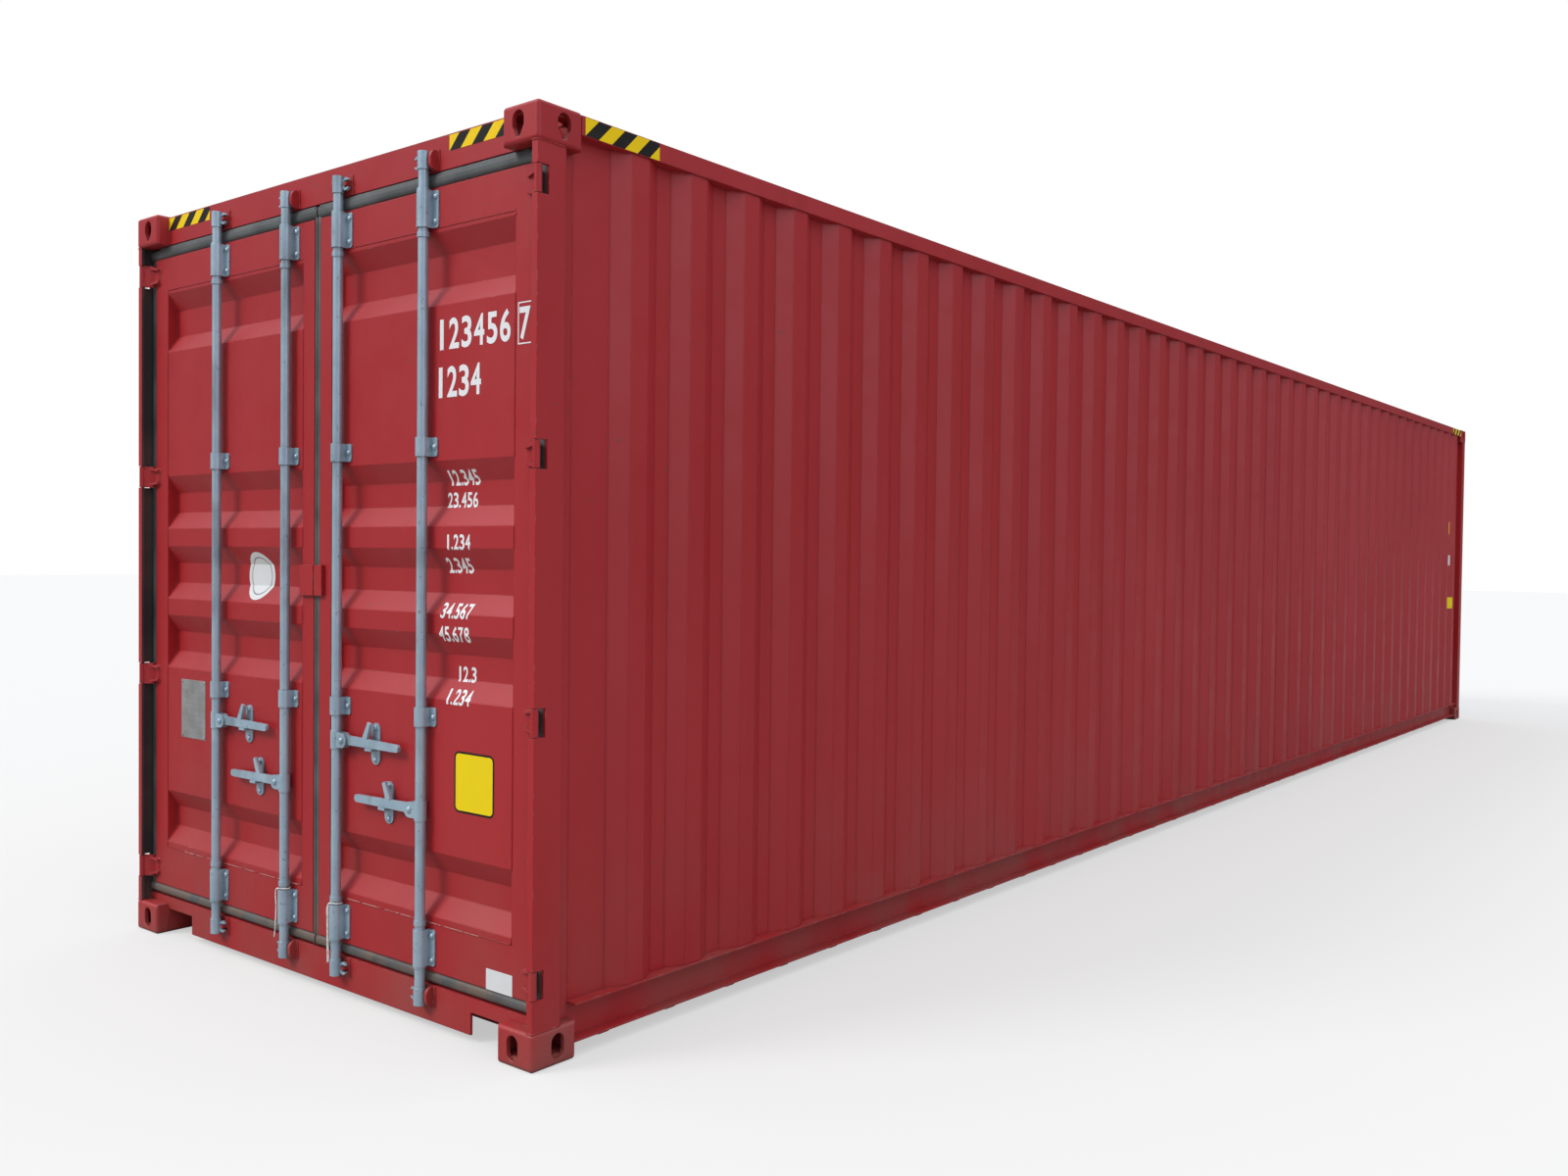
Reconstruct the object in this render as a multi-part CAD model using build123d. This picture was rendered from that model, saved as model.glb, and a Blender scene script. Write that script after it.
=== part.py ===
from build123d import *
import os
from math import pi, radians, tan

# Overall size of a forty-foot high-cube freight container. The doors are at the -X end,
# the left side (facing the doors) is +Y, and Z = 0 is the floor that it stands on.
LENGTH = 12192.0
WIDTH = 2438.0
HEIGHT = 2896.0

# Corner castings: hollow blocks with a twistlock slot and two side holes
CASTING_LENGTH = 178.0
CASTING_WIDTH = 162.0
CASTING_HEIGHT = 118.0
CASTING_EDGE_RADIUS = 12.0
CASTING_SLOT_WALL = 28.5
CASTING_OUTER_WALL = 16.0
CASTING_INNER_WALL = 10.0
SLOT_LENGTH = 124.5
SLOT_WIDTH = 63.5
SLOT_FROM_END = 103.5
SLOT_FROM_SIDE = 89.5
HOLE_HEIGHT = 79.0
HOLE_WIDTH = 51.0
HOLE_POINT_WIDTH = 16.0
HOLE_OVERCUT = 1.0

# Frame members stand a little inside the casting faces
FRAME_INSET = 4.0
POST_PLATE = 10.0
POST_FLANGE_WIDTH = 26.0
POST_FLANGE_PLATE = 12.0
POST_LEAF_GAP = 5.0
POST_INNER_WIDTH = 42.0
POST_INNER_WALL = 6.0
FRONT_POST_LEG = 100.0
FRONT_POST_PLATE = 8.0
TOP_RAIL = 60.0
TOP_RAIL_WALL = 4.0
TOP_RAIL_DROP = 6.0
BOTTOM_RAIL_BOTTOM = 48.0
BOTTOM_RAIL_WEB_INSET = 54.0
BOTTOM_RAIL_PLATE = 6.0

# Corrugated sheet of the sides and the front
SHEET = 2.0
CREST_INSET = 10.0
WALL_DEPTH = 36.0
WALL_PITCH = 278.0
WALL_CREST = 74.0
WALL_SLOPE = 68.0
WALL_FIRST_CREST = 405.0
FRONT_PITCH = 250.0
FRONT_CREST = 90.0
FRONT_SLOPE = 35.0
FRONT_FIRST_CREST = 215.0
ROOF_DROP = 10.0
ROOF_DEPTH = 20.0
ROOF_PITCH = 209.0
ROOF_CREST = 92.0
ROOF_SLOPE = 26.0
ROOF_FIRST_CREST = 250.0

# Base: cross members, the tunnel for a gooseneck trailer and the plywood floor
FLOOR_TOP = 168.0
FLOOR_THICKNESS = 28.0
MEMBER_BOTTOM = 18.0
MEMBER_FLANGE = 45.0
MEMBER_PLATE = 4.5
MEMBER_PITCH = 305.0
TUNNEL_LENGTH = 3315.0
TUNNEL_WIDTH = 1029.0
TUNNEL_HEIGHT = 122.0
TUNNEL_PLATE = 5.0
MEMBER_END_CLEARANCE = 2.0

# Door end: header and sill between the posts, with a stop behind the leaves
DOOR_FACE = 50.0
LEAF_THICKNESS = 50.0
LEAF_STOP_GAP = 6.0
HEADER_BOTTOM_DROP = 116.0
HEADER_PLATE = 6.0
HEADER_STOP_DROP = 176.0
SILL_BOTTOM = 25.0
SILL_TOP = 144.0
SILL_PLATE = 8.0
SILL_NOTCH_WIDTH = 187.0
SILL_NOTCH_TOP = 98.0

# Door leaves: a welded frame round a sheet with pressed recesses
LEAF_BOTTOM = 190.0
LEAF_TOP_DROP = 166.0
LEAF_HINGE_INSET = 59.0
LEAF_CENTRE_GAP = 18.0
HINGE_STILE = 96.0
CENTRE_STILE = 72.0
TOP_MEMBER = 130.0
BOTTOM_MEMBER = 160.0
RECESS_DEPTH = 38.0
RECESS_SLOPE = 66.0
TOP_RECESS_DROP = 145.0
TOP_RECESS_HEIGHT = 235.0
RECESS_HEIGHT = 211.0
RECESS_BOTTOMS = (371.0, 1082.0, 1359.0, 1641.0)

# Gasket round each leaf: upright strips behind its edges and round lips above and below it
GASKET_FRONT_STEP = 3.0
GASKET_BACK_STEP = 2.0
GASKET_BULGE = 9.0
GASKET_CENTRE_BULGE = 5.0
GASKET_LIP_PROUD = 3.0
GASKET_LIP_RADIUS = 18.0
GASKET_HINGE_INSET = 20.0
GASKET_CENTRE_GAP = 5.0
GASKET_BOTTOM = 149.0
GASKET_TOP_DROP = 121.0

# Hinges: a blade with a knuckle that turns on a pin in a slot of the post
HINGE_AXIS_DEPTH = 15.0
HINGE_AXIS_INSET = 15.0
HINGE_HEIGHT = 84.0
HINGE_PIN_RADIUS = 6.0
HINGE_PIN_CLEARANCE = 0.06
KNUCKLE_RADIUS = 12.0
KNUCKLE_GAP = 2.0
HINGE_SLOT_REACH = 33.0
BLADE_NECK = 9.0
BLADE_CRANK_REACH = 14.0
BLADE_CRANK_INSET = 29.0
BLADE_LAP = 33.0
BLADE_LAP_THICKNESS = 12.0
BLADE_TIP_HEIGHT = 58.0
BLADE_RIM = 9.0
BLADE_POCKET_SKIN = 5.0
BOTTOM_HINGE = 260.0
LOWER_HINGE = 1050.0
UPPER_HINGE = 1852.0
TOP_HINGE_DROP = 231.0

# Lock bars, their brackets and the keepers that they turn into
BAR_RADIUS = 17.0
BAR_BACK_GAP = 5.0
BAR_CLEARANCE = 0.3
BAR_BOTTOM = 78.0
BAR_TOP_DROP = 62.0
INNER_BAR_Y = 163.0
OUTER_BAR_Y = 640.0
STRAP = 5.0
STRAP_FLANGE = 28.0
STRAP_CORNER = 10.0
BUSH_WALL = 3.5
BUSH_PROUD = 6.0
LONG_BRACKET = 120.0
SHORT_BRACKET = 62.0
BOTTOM_BRACKET_BOTTOM = 208.0
TOP_BRACKET_TOP_DROP = 175.0
LOWER_CLAMP = 1022.0
UPPER_CLAMP = 1897.0
COLLAR_WALL = 3.0
COLLAR_HEIGHT = 18.0
COLLAR_GAP = 13.0
KEEPER_HEIGHT = 66.0
KEEPER_BASE = 3.0
KEEPER_BASE_WIDTH = 104.0
KEEPER_GAP = 6.0
KEEPER_CHEEK = 14.0
KEEPER_CHEEK_REACH = 28.0
KEEPER_BOTTOM = 76.0
KEEPER_TOP_DROP = 47.0
STUB_RADIUS = 7.0
STUB_GAP = 16.0
STUB_PROUD = 1.0
CAM_WALL = 3.0
CAM_HEIGHT = 58.0
CLAW_SET_BACK = 3.0
CLAW_THICKNESS = 10.0
CLAW_RING = 10.0
CLAW_STUB_GAP = 5.0

# Handles: a flat bar on a pin between two ears of the hub
HIGH_HANDLE = 905.0
LOW_HANDLE = 715.0
HANDLE_PIN_RADIUS = 6.0
HANDLE_PIN_CLEARANCE = 0.06
HANDLE_LENGTH = 362.0
HANDLE_THICKNESS = 11.0
HANDLE_ROOT_RADIUS = 20.0
HANDLE_HUB_GAP = 6.0
HANDLE_TIP = 26.0
FINGER_START = 148.0
FINGER_WIDTH = 30.0
FINGER_LEAN = 42.0
FINGER_RISE = 68.0
FINGER_TIP = 14.0
EAR_THICKNESS = 7.0
EAR_GAP = 0.4
EAR_HEIGHT = 52.0
HUB_HEIGHT = 64.0
CRADLE_OFFSET = 200.0
CRADLE_WIDTH = 48.0
CRADLE_HEIGHT = 142.0
CRADLE_PLATE = 5.0
CRADLE_LEDGE = 9.0
CRADLE_LEDGE_WIDTH = 36.0
CRADLE_LEDGE_LIP = 5.5
SEAT_GAP = 0.3

# Locking plates across the centre line
LOCK_PLATE_GAP = 3.0
LOCK_PLATE_LEFT = 88.0
LOCK_PLATE_RIGHT = 49.0
LOCK_PLATE_BOTTOM = 1399.0
LOCK_PLATE_HEIGHT = 109.0
LOCK_PLATE_DEPTH = 14.0

# Tie ropes left on the inner bars: depth behind the front plane, Y and Z of each point
ROPE_RADIUS = 2.5
ROPE_BEND = 0.45
LEFT_ROPE = [
    (29.0, 185.0, 332.0), (46.0, 171.7, 331.2), (46.0, 154.3, 331.4), (33.7, 142.0, 331.6),
    (16.3, 142.0, 333.0), (4.0, 154.3, 334.5), (3.2, 181.0, 333.5), (4.2, 187.5, 309.0),
    (5.0, 184.0, 272.0), (5.6, 186.0, 234.0), (5.0, 189.0, 199.0), (6.0, 193.0, 172.0),
    (6.6, 199.0, 150.0),
]
RIGHT_ROPE = [
    (7.0, -140.0, 124.0), (7.0, -141.5, 147.0), (6.0, -140.5, 178.0), (5.0, -142.2, 210.0),
    (5.0, -140.6, 243.0), (5.2, -141.2, 275.0), (6.0, -137.0, 302.0), (10.5, -135.0, 322.0),
    (18.5, -139.0, 332.0), (33.7, -142.0, 332.0), (46.0, -154.3, 331.4), (46.0, -171.7, 331.2),
    (33.7, -184.0, 331.8), (16.3, -184.0, 334.0), (4.0, -171.7, 336.5), (3.0, -150.0, 335.5),
    (3.2, -148.0, 309.0), (3.5, -149.0, 276.0), (3.4, -148.2, 242.0), (3.6, -149.4, 209.0),
    (4.8, -148.6, 176.0), (5.5, -149.6, 149.0), (6.0, -147.2, 127.0),
]


# Shared construction helpers

def door_x(depth):
    """X of a plane a given depth behind the front of the door end."""
    return depth - LENGTH / 2


def left_y(inset):
    """Y of a plane a given distance inside the left side."""
    return WIDTH / 2 - inset


def block(x, y, z):
    """Rectangular block between two limits on each axis."""
    centre = Pos((x[0] + x[1]) / 2, (y[0] + y[1]) / 2, (z[0] + z[1]) / 2)
    return centre * Box(abs(x[1] - x[0]), abs(y[1] - y[0]), abs(z[1] - z[0]))


def upright(outline, z):
    """Outline of (x, y) points raised between two heights."""
    face = make_face(Polyline(*[(px, py, z[0]) for px, py in outline], close=True))
    return extrude(face, amount=z[1] - z[0], dir=(0, 0, 1))


def crosswise(outline, y):
    """Outline of (x, z) points pushed across the width between two Y limits."""
    face = make_face(Polyline(*[(px, y[0], pz) for px, pz in outline], close=True))
    return extrude(face, amount=y[1] - y[0], dir=(0, 1, 0))


def lengthwise(outline, x):
    """Outline of (y, z) points pushed along the length between two X limits."""
    face = make_face(Polyline(*[(x[0], py, pz) for py, pz in outline], close=True))
    return extrude(face, amount=x[1] - x[0], dir=(1, 0, 0))


def other_side(piece):
    """The same piece on the other side of the container."""
    return mirror(piece, about=Plane.XZ)


def other_end(piece):
    """The same piece at the other end of the container."""
    return mirror(piece, about=Plane.YZ)


def wave(start, stop, first, pitch, crest, slope, high, low):
    """Trapezoid wave as (position, level) points, with flat crests at the high level."""
    points = [(start, low)]
    position = first
    while position + crest + slope < stop:
        points.append((position - slope, low))
        points.append((position, high))
        points.append((position + crest, high))
        points.append((position + crest + slope, low))
        position += pitch
    points.append((stop, low))
    return points


def thickened(points, thickness):
    """Closed outline of a bent sheet whose second face lies one thickness further."""
    return points + [(a, b + thickness) for a, b in reversed(points)]


# Levels that several pieces share

POST_Z = (CASTING_HEIGHT, HEIGHT - CASTING_HEIGHT)
RAIL_X = (door_x(CASTING_LENGTH), -door_x(CASTING_LENGTH))
INSIDE_CASTINGS = left_y(CASTING_WIDTH)
TROUGH_INSET = CREST_INSET + WALL_DEPTH
POST_INNER_INSET = TROUGH_INSET + POST_INNER_WIDTH
HEADER_BOTTOM = HEIGHT - HEADER_BOTTOM_DROP
ROOF_TOP = HEIGHT - ROOF_DROP
TOP_RAIL_Z = (HEIGHT - TOP_RAIL_DROP - TOP_RAIL, HEIGHT - TOP_RAIL_DROP)
STOP_DEPTH = DOOR_FACE + LEAF_THICKNESS + LEAF_STOP_GAP
LEAF_TOP = HEIGHT - LEAF_TOP_DROP
LEAF_Z = (LEAF_BOTTOM, LEAF_TOP)
PANEL_Z = (LEAF_BOTTOM + BOTTOM_MEMBER, LEAF_TOP - TOP_MEMBER)
PANEL_Y = (LEAF_CENTRE_GAP + CENTRE_STILE, left_y(LEAF_HINGE_INSET + HINGE_STILE))
HINGE_HEIGHTS = (BOTTOM_HINGE, LOWER_HINGE, UPPER_HINGE, HEIGHT - TOP_HINGE_DROP)
HINGE_CUT = HINGE_HEIGHT / 2 + KNUCKLE_GAP
HINGE_AXIS = (door_x(HINGE_AXIS_DEPTH), left_y(HINGE_AXIS_INSET))
BAR_Z = (BAR_BOTTOM, HEIGHT - BAR_TOP_DROP)
COLLAR_RADIUS = BAR_RADIUS + COLLAR_WALL
CAM_RADIUS = BAR_RADIUS + CAM_WALL
BAR_DEPTH = DOOR_FACE - BAR_BACK_GAP - max(COLLAR_RADIUS, CAM_RADIUS)
STUB_REACH = CAM_RADIUS + STUB_GAP
CLAW_FRONT = BAR_DEPTH + CLAW_SET_BACK
CLAW_X = (door_x(CLAW_FRONT), door_x(CLAW_FRONT + CLAW_THICKNESS))
HANDLE_PIN_OFFSET = COLLAR_RADIUS + HANDLE_HUB_GAP + HANDLE_ROOT_RADIUS
LONG_BRACKETS = (
    (BOTTOM_BRACKET_BOTTOM, BOTTOM_BRACKET_BOTTOM + LONG_BRACKET),
    (HEIGHT - TOP_BRACKET_TOP_DROP - LONG_BRACKET, HEIGHT - TOP_BRACKET_TOP_DROP),
)
KEEPER_BOTTOMS = (KEEPER_BOTTOM, HEIGHT - KEEPER_TOP_DROP - KEEPER_HEIGHT)

# Each bar: Y of its axis, the side its handle points to and the height of the handle
BARS = {
    "1": (OUTER_BAR_Y, -1, HIGH_HANDLE),
    "2": (INNER_BAR_Y, 1, LOW_HANDLE),
    "3": (-INNER_BAR_Y, -1, HIGH_HANDLE),
    "4": (-OUTER_BAR_Y, 1, LOW_HANDLE),
}


# Corner castings

def side_hole(pointed):
    """Upright hole of a casting wall; on top castings its lower end comes to a point."""
    if not pointed:
        return SlotOverall(HOLE_HEIGHT, HOLE_WIDTH)
    straight = HOLE_HEIGHT / 2 - HOLE_WIDTH / 2
    half = HOLE_WIDTH / 2
    tip = HOLE_POINT_WIDTH / 2
    arch = ThreePointArc((-straight, half), (-HOLE_HEIGHT / 2, 0), (-straight, -half))
    point = Polyline(
        (-straight, -half), (straight / 2, -half), (HOLE_HEIGHT / 2, -tip),
        (HOLE_HEIGHT / 2, tip), (straight / 2, half), (-straight, half),
    )
    return make_face(arch + point)


def corner_casting(pointed):
    """Casting of the lower left corner at the door end, hollow behind its slot and holes."""
    x = (door_x(0), door_x(CASTING_LENGTH))
    y = (left_y(CASTING_WIDTH), left_y(0))
    z = (0, CASTING_HEIGHT)
    casting = block(x, y, z)
    near = CASTING_EDGE_RADIUS / 2
    outer = casting.edges().filter_by(
        lambda e: e.center().X < x[0] + near or e.center().Y > y[1] - near or e.center().Z < near
    )
    casting = fillet(outer, CASTING_EDGE_RADIUS)
    casting -= block(
        (x[0] + CASTING_OUTER_WALL, x[1] - CASTING_INNER_WALL),
        (y[0] + CASTING_INNER_WALL, y[1] - CASTING_OUTER_WALL),
        (CASTING_SLOT_WALL, CASTING_HEIGHT - CASTING_INNER_WALL),
    )
    slot_x = door_x(SLOT_FROM_END)
    slot_y = left_y(SLOT_FROM_SIDE)
    casting -= Pos(slot_x, slot_y, 0) * extrude(
        SlotOverall(SLOT_LENGTH, SLOT_WIDTH), amount=CASTING_SLOT_WALL, both=True
    )
    end = Plane(origin=(x[0], slot_y, CASTING_HEIGHT / 2), x_dir=(0, 0, 1), z_dir=(1, 0, 0))
    side = Plane(origin=(slot_x, y[1], CASTING_HEIGHT / 2), x_dir=(0, 0, 1), z_dir=(0, -1, 0))
    for plane in (end, side):
        casting -= extrude(plane * side_hole(pointed), amount=CASTING_OUTER_WALL + HOLE_OVERCUT)
    return casting


def four_corners(piece):
    """A corner piece repeated at all four corners of one level."""
    row = [piece, other_side(piece)]
    return row + [other_end(part) for part in row]


def bottom_castings():
    return four_corners(corner_casting(False))


def top_castings():
    level = Plane(origin=(0, 0, HEIGHT / 2), x_dir=(1, 0, 0), z_dir=(0, 0, 1))
    return four_corners(mirror(corner_casting(True), about=level))


# Corner posts

def rear_post():
    """Left door post: an outer section that carries the hinges and an inner box section."""
    inset = FRAME_INSET
    step = DOOR_FACE + LEAF_THICKNESS + POST_LEAF_GAP
    side_end = step + POST_PLATE
    outline = [
        (inset, inset), (side_end, inset), (side_end, TROUGH_INSET),
        (CASTING_LENGTH, TROUGH_INSET), (CASTING_LENGTH, POST_INNER_INSET),
        (step, POST_INNER_INSET), (step, inset + POST_PLATE),
        (inset + POST_FLANGE_PLATE, inset + POST_PLATE),
        (inset + POST_FLANGE_PLATE, inset + POST_FLANGE_WIDTH),
        (inset, inset + POST_FLANGE_WIDTH),
    ]
    post = upright([(door_x(d), left_y(s)) for d, s in outline], POST_Z)
    wall = POST_INNER_WALL
    post -= block(
        (door_x(step + wall), door_x(CASTING_LENGTH - wall)),
        (left_y(TROUGH_INSET + wall), left_y(POST_INNER_INSET - wall)),
        POST_Z,
    )
    for height in HINGE_HEIGHTS:
        post -= block(
            (door_x(0), door_x(HINGE_AXIS_DEPTH + HINGE_SLOT_REACH)),
            (left_y(0), left_y(inset + POST_FLANGE_WIDTH)),
            (height - HINGE_CUT, height + HINGE_CUT),
        )
    return post


def front_post():
    """Left post of the closed end: one bent plate that meets the side and front sheets."""
    inset = FRAME_INSET
    leg = inset + FRONT_POST_LEG
    plate = FRONT_POST_PLATE
    trough = TROUGH_INSET
    outline = [
        (inset, inset), (leg, inset), (leg, trough), (CASTING_LENGTH, trough),
        (CASTING_LENGTH, trough + plate), (leg - plate, trough + plate),
        (leg - plate, inset + plate), (inset + plate, inset + plate),
        (inset + plate, leg - plate), (trough + plate, leg - plate),
        (trough + plate, CASTING_WIDTH), (trough, CASTING_WIDTH), (trough, leg), (inset, leg),
    ]
    return upright([(-door_x(d), left_y(s)) for d, s in outline], POST_Z)


# Rails, headers and sills

def top_rail():
    """Left top side rail, a square tube between the castings."""
    y = (left_y(FRAME_INSET + TOP_RAIL), left_y(FRAME_INSET))
    wall = TOP_RAIL_WALL
    tube = block(RAIL_X, y, TOP_RAIL_Z)
    hollow = block(
        RAIL_X, (y[0] + wall, y[1] - wall), (TOP_RAIL_Z[0] + wall, TOP_RAIL_Z[1] - wall)
    )
    return tube - hollow


def bottom_rail():
    """Left bottom side rail, a channel that opens outwards."""
    lip = left_y(FRAME_INSET)
    web = left_y(BOTTOM_RAIL_WEB_INSET)
    plate = BOTTOM_RAIL_PLATE
    low = BOTTOM_RAIL_BOTTOM
    outline = [
        (lip, FLOOR_TOP), (lip, FLOOR_TOP - plate), (web, FLOOR_TOP - plate),
        (web, low + plate), (lip, low + plate), (lip, low), (web - plate, low),
        (web - plate, FLOOR_TOP),
    ]
    return lengthwise(outline, RAIL_X)


def door_header():
    """Header over the doors: a box with a top plate to the roof and a stop behind the leaves."""
    plate = HEADER_PLATE
    top = HEIGHT - TOP_RAIL_DROP
    back = CASTING_LENGTH
    outline = [
        (DOOR_FACE, HEADER_BOTTOM), (DOOR_FACE, top), (back, top), (back, top - plate),
        (DOOR_FACE + plate, top - plate), (DOOR_FACE + plate, HEADER_BOTTOM + plate),
        (back, HEADER_BOTTOM + plate), (back, HEADER_BOTTOM),
    ]
    points = [(door_x(d), z) for d, z in outline]
    header = crosswise(points, (-INSIDE_CASTINGS, INSIDE_CASTINGS))
    inner = left_y(POST_INNER_INSET)
    stop = block(
        (door_x(STOP_DEPTH), door_x(back)),
        (-inner, inner),
        (HEIGHT - HEADER_STOP_DROP, HEIGHT - CASTING_HEIGHT),
    )
    bridge = block(
        (door_x(STOP_DEPTH), door_x(back)),
        (-INSIDE_CASTINGS, INSIDE_CASTINGS),
        (HEIGHT - CASTING_HEIGHT, HEADER_BOTTOM),
    )
    return header + stop + bridge


def door_sill():
    """Sill under the doors: a folded channel with a raised threshold behind the leaves."""
    plate = SILL_PLATE
    back = CASTING_LENGTH
    outline = [
        (DOOR_FACE, SILL_BOTTOM), (DOOR_FACE, SILL_TOP), (STOP_DEPTH, SILL_TOP),
        (STOP_DEPTH, FLOOR_TOP), (back, FLOOR_TOP), (back, SILL_BOTTOM),
        (back - plate, SILL_BOTTOM), (back - plate, FLOOR_TOP - plate),
        (STOP_DEPTH + plate, FLOOR_TOP - plate), (STOP_DEPTH + plate, SILL_TOP - plate),
        (DOOR_FACE + plate, SILL_TOP - plate), (DOOR_FACE + plate, SILL_BOTTOM),
    ]
    points = [(door_x(d), z) for d, z in outline]
    sill = crosswise(points, (-INSIDE_CASTINGS, INSIDE_CASTINGS))
    notch = block(
        (door_x(DOOR_FACE), door_x(DOOR_FACE + plate)),
        (INSIDE_CASTINGS - SILL_NOTCH_WIDTH, INSIDE_CASTINGS),
        (SILL_BOTTOM, SILL_NOTCH_TOP),
    )
    foot = block(
        (door_x(STOP_DEPTH), door_x(back)),
        (INSIDE_CASTINGS, left_y(POST_INNER_INSET)),
        (CASTING_HEIGHT, FLOOR_TOP),
    )
    y = (INSIDE_CASTINGS, left_y(FRAME_INSET + POST_PLATE))
    apron_x = (door_x(DOOR_FACE), door_x(DOOR_FACE + LEAF_THICKNESS + POST_LEAF_GAP))
    apron = block(apron_x, y, (CASTING_HEIGHT, SILL_TOP))
    apron -= block((apron_x[0] + plate, apron_x[1]), y, (CASTING_HEIGHT, SILL_TOP - plate))
    return sill - notch - other_side(notch) + foot + other_side(foot) + apron + other_side(apron)


def front_header():
    """Header of the closed end: a square tube with a plate to the roof sheet."""
    x = (-door_x(FRAME_INSET + TOP_RAIL), -door_x(FRAME_INSET))
    y = (-INSIDE_CASTINGS, INSIDE_CASTINGS)
    wall = TOP_RAIL_WALL
    tube = block(x, y, TOP_RAIL_Z)
    tube -= block(
        (x[0] + wall, x[1] - wall), y, (TOP_RAIL_Z[0] + wall, TOP_RAIL_Z[1] - wall)
    )
    plate = block((RAIL_X[1], x[0]), y, (TOP_RAIL_Z[1] - HEADER_PLATE, TOP_RAIL_Z[1]))
    return tube + plate


def front_sill():
    """Sill of the closed end, a channel cut away over the gooseneck tunnel."""
    face = -door_x(FRAME_INSET)
    web = -door_x(BOTTOM_RAIL_WEB_INSET)
    back = -door_x(CASTING_LENGTH)
    plate = BOTTOM_RAIL_PLATE
    low = SILL_BOTTOM
    outline = [
        (face, FLOOR_TOP), (face, FLOOR_TOP - plate), (web, FLOOR_TOP - plate),
        (web, low + plate), (face, low + plate), (face, low), (web - plate, low),
        (web - plate, FLOOR_TOP - plate), (back, FLOOR_TOP - plate), (back, FLOOR_TOP),
    ]
    sill = crosswise(outline, (-INSIDE_CASTINGS, INSIDE_CASTINGS))
    half = TUNNEL_WIDTH / 2 + TUNNEL_PLATE
    mouth = block((back, face), (-half, half), (0, TUNNEL_HEIGHT + TUNNEL_PLATE))
    inner = left_y(TROUGH_INSET + FRONT_POST_PLATE)
    foot = block(
        (back, -door_x(FRAME_INSET + FRONT_POST_LEG)),
        (INSIDE_CASTINGS, inner),
        (CASTING_HEIGHT, FLOOR_TOP),
    )
    return sill - mouth + foot + other_side(foot)


# Corrugated sheets

def side_wall():
    """Left side: vertical trapezoid corrugations between the bottom and top rails."""
    points = wave(
        RAIL_X[0], RAIL_X[1], door_x(WALL_FIRST_CREST), WALL_PITCH, WALL_CREST, WALL_SLOPE,
        CREST_INSET, TROUGH_INSET,
    )
    outline = [(x, left_y(inset)) for x, inset in thickened(points, SHEET)]
    return upright(outline, (FLOOR_TOP, TOP_RAIL_Z[0]))


def front_wall():
    """Closed end: vertical corrugations, a little closer than on the sides, between its sill and header."""
    points = wave(
        -INSIDE_CASTINGS, INSIDE_CASTINGS, FRONT_FIRST_CREST - WIDTH / 2, FRONT_PITCH,
        FRONT_CREST, FRONT_SLOPE, CREST_INSET, TROUGH_INSET,
    )
    outline = [(-door_x(depth), y) for y, depth in thickened(points, SHEET)]
    return upright(outline, (FLOOR_TOP, TOP_RAIL_Z[0]))


def roof():
    """Roof sheet with pressed troughs that run across the width."""
    points = wave(
        RAIL_X[0], RAIL_X[1], door_x(ROOF_FIRST_CREST), ROOF_PITCH, ROOF_CREST, ROOF_SLOPE,
        0, ROOF_DEPTH,
    )
    outline = [(x, ROOF_TOP - drop) for x, drop in thickened(points, SHEET)]
    edge = left_y(FRAME_INSET + TOP_RAIL)
    return crosswise(outline, (-edge, edge))


# Base

def cross_members():
    """Channels across the base, and short ones beside the gooseneck tunnel."""
    web = left_y(BOTTOM_RAIL_WEB_INSET + BOTTOM_RAIL_PLATE)
    top = FLOOR_TOP - FLOOR_THICKNESS
    tunnel_end = LENGTH / 2 - TUNNEL_LENGTH
    tunnel_side = TUNNEL_WIDTH / 2 + TUNNEL_PLATE
    plate = MEMBER_PLATE
    low = MEMBER_BOTTOM
    members = []
    count = int((RAIL_X[1] - RAIL_X[0] - MEMBER_PITCH) / MEMBER_PITCH)
    first = RAIL_X[0] + MEMBER_PITCH / 2
    step = (RAIL_X[1] - MEMBER_PITCH / 2 - first) / count
    for index in range(count + 1):
        x = first + index * step
        outline = [
            (x, low), (x, top), (x + MEMBER_FLANGE, top), (x + MEMBER_FLANGE, top - plate),
            (x + plate, top - plate), (x + plate, low + plate), (x + MEMBER_FLANGE, low + plate),
            (x + MEMBER_FLANGE, low),
        ]
        if x + MEMBER_FLANGE < tunnel_end:
            members.append(crosswise(outline, (-web, web)))
        elif x > tunnel_end + MEMBER_END_CLEARANCE:
            outrigger = crosswise(outline, (tunnel_side, web))
            members += [outrigger, other_side(outrigger)]
    return members


def gooseneck_tunnel():
    """Inverted channel under the closed end that a gooseneck chassis slides into."""
    half = TUNNEL_WIDTH / 2
    plate = TUNNEL_PLATE
    top = FLOOR_TOP - FLOOR_THICKNESS
    low = MEMBER_BOTTOM
    outline = [
        (half, low), (half, TUNNEL_HEIGHT), (-half, TUNNEL_HEIGHT), (-half, low),
        (-half - plate, low), (-half - plate, TUNNEL_HEIGHT + plate),
        (half + plate, TUNNEL_HEIGHT + plate), (half + plate, low),
    ]
    back = -door_x(BOTTOM_RAIL_WEB_INSET + BOTTOM_RAIL_PLATE)
    x = (LENGTH / 2 - TUNNEL_LENGTH, back)
    tunnel = lengthwise(outline, x)
    bow = block((x[0], x[0] + plate), (-half - plate, half + plate), (TUNNEL_HEIGHT, top))
    rib = block((x[0], back), (-plate / 2, plate / 2), (TUNNEL_HEIGHT + plate, top))
    return tunnel + bow + rib


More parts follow.
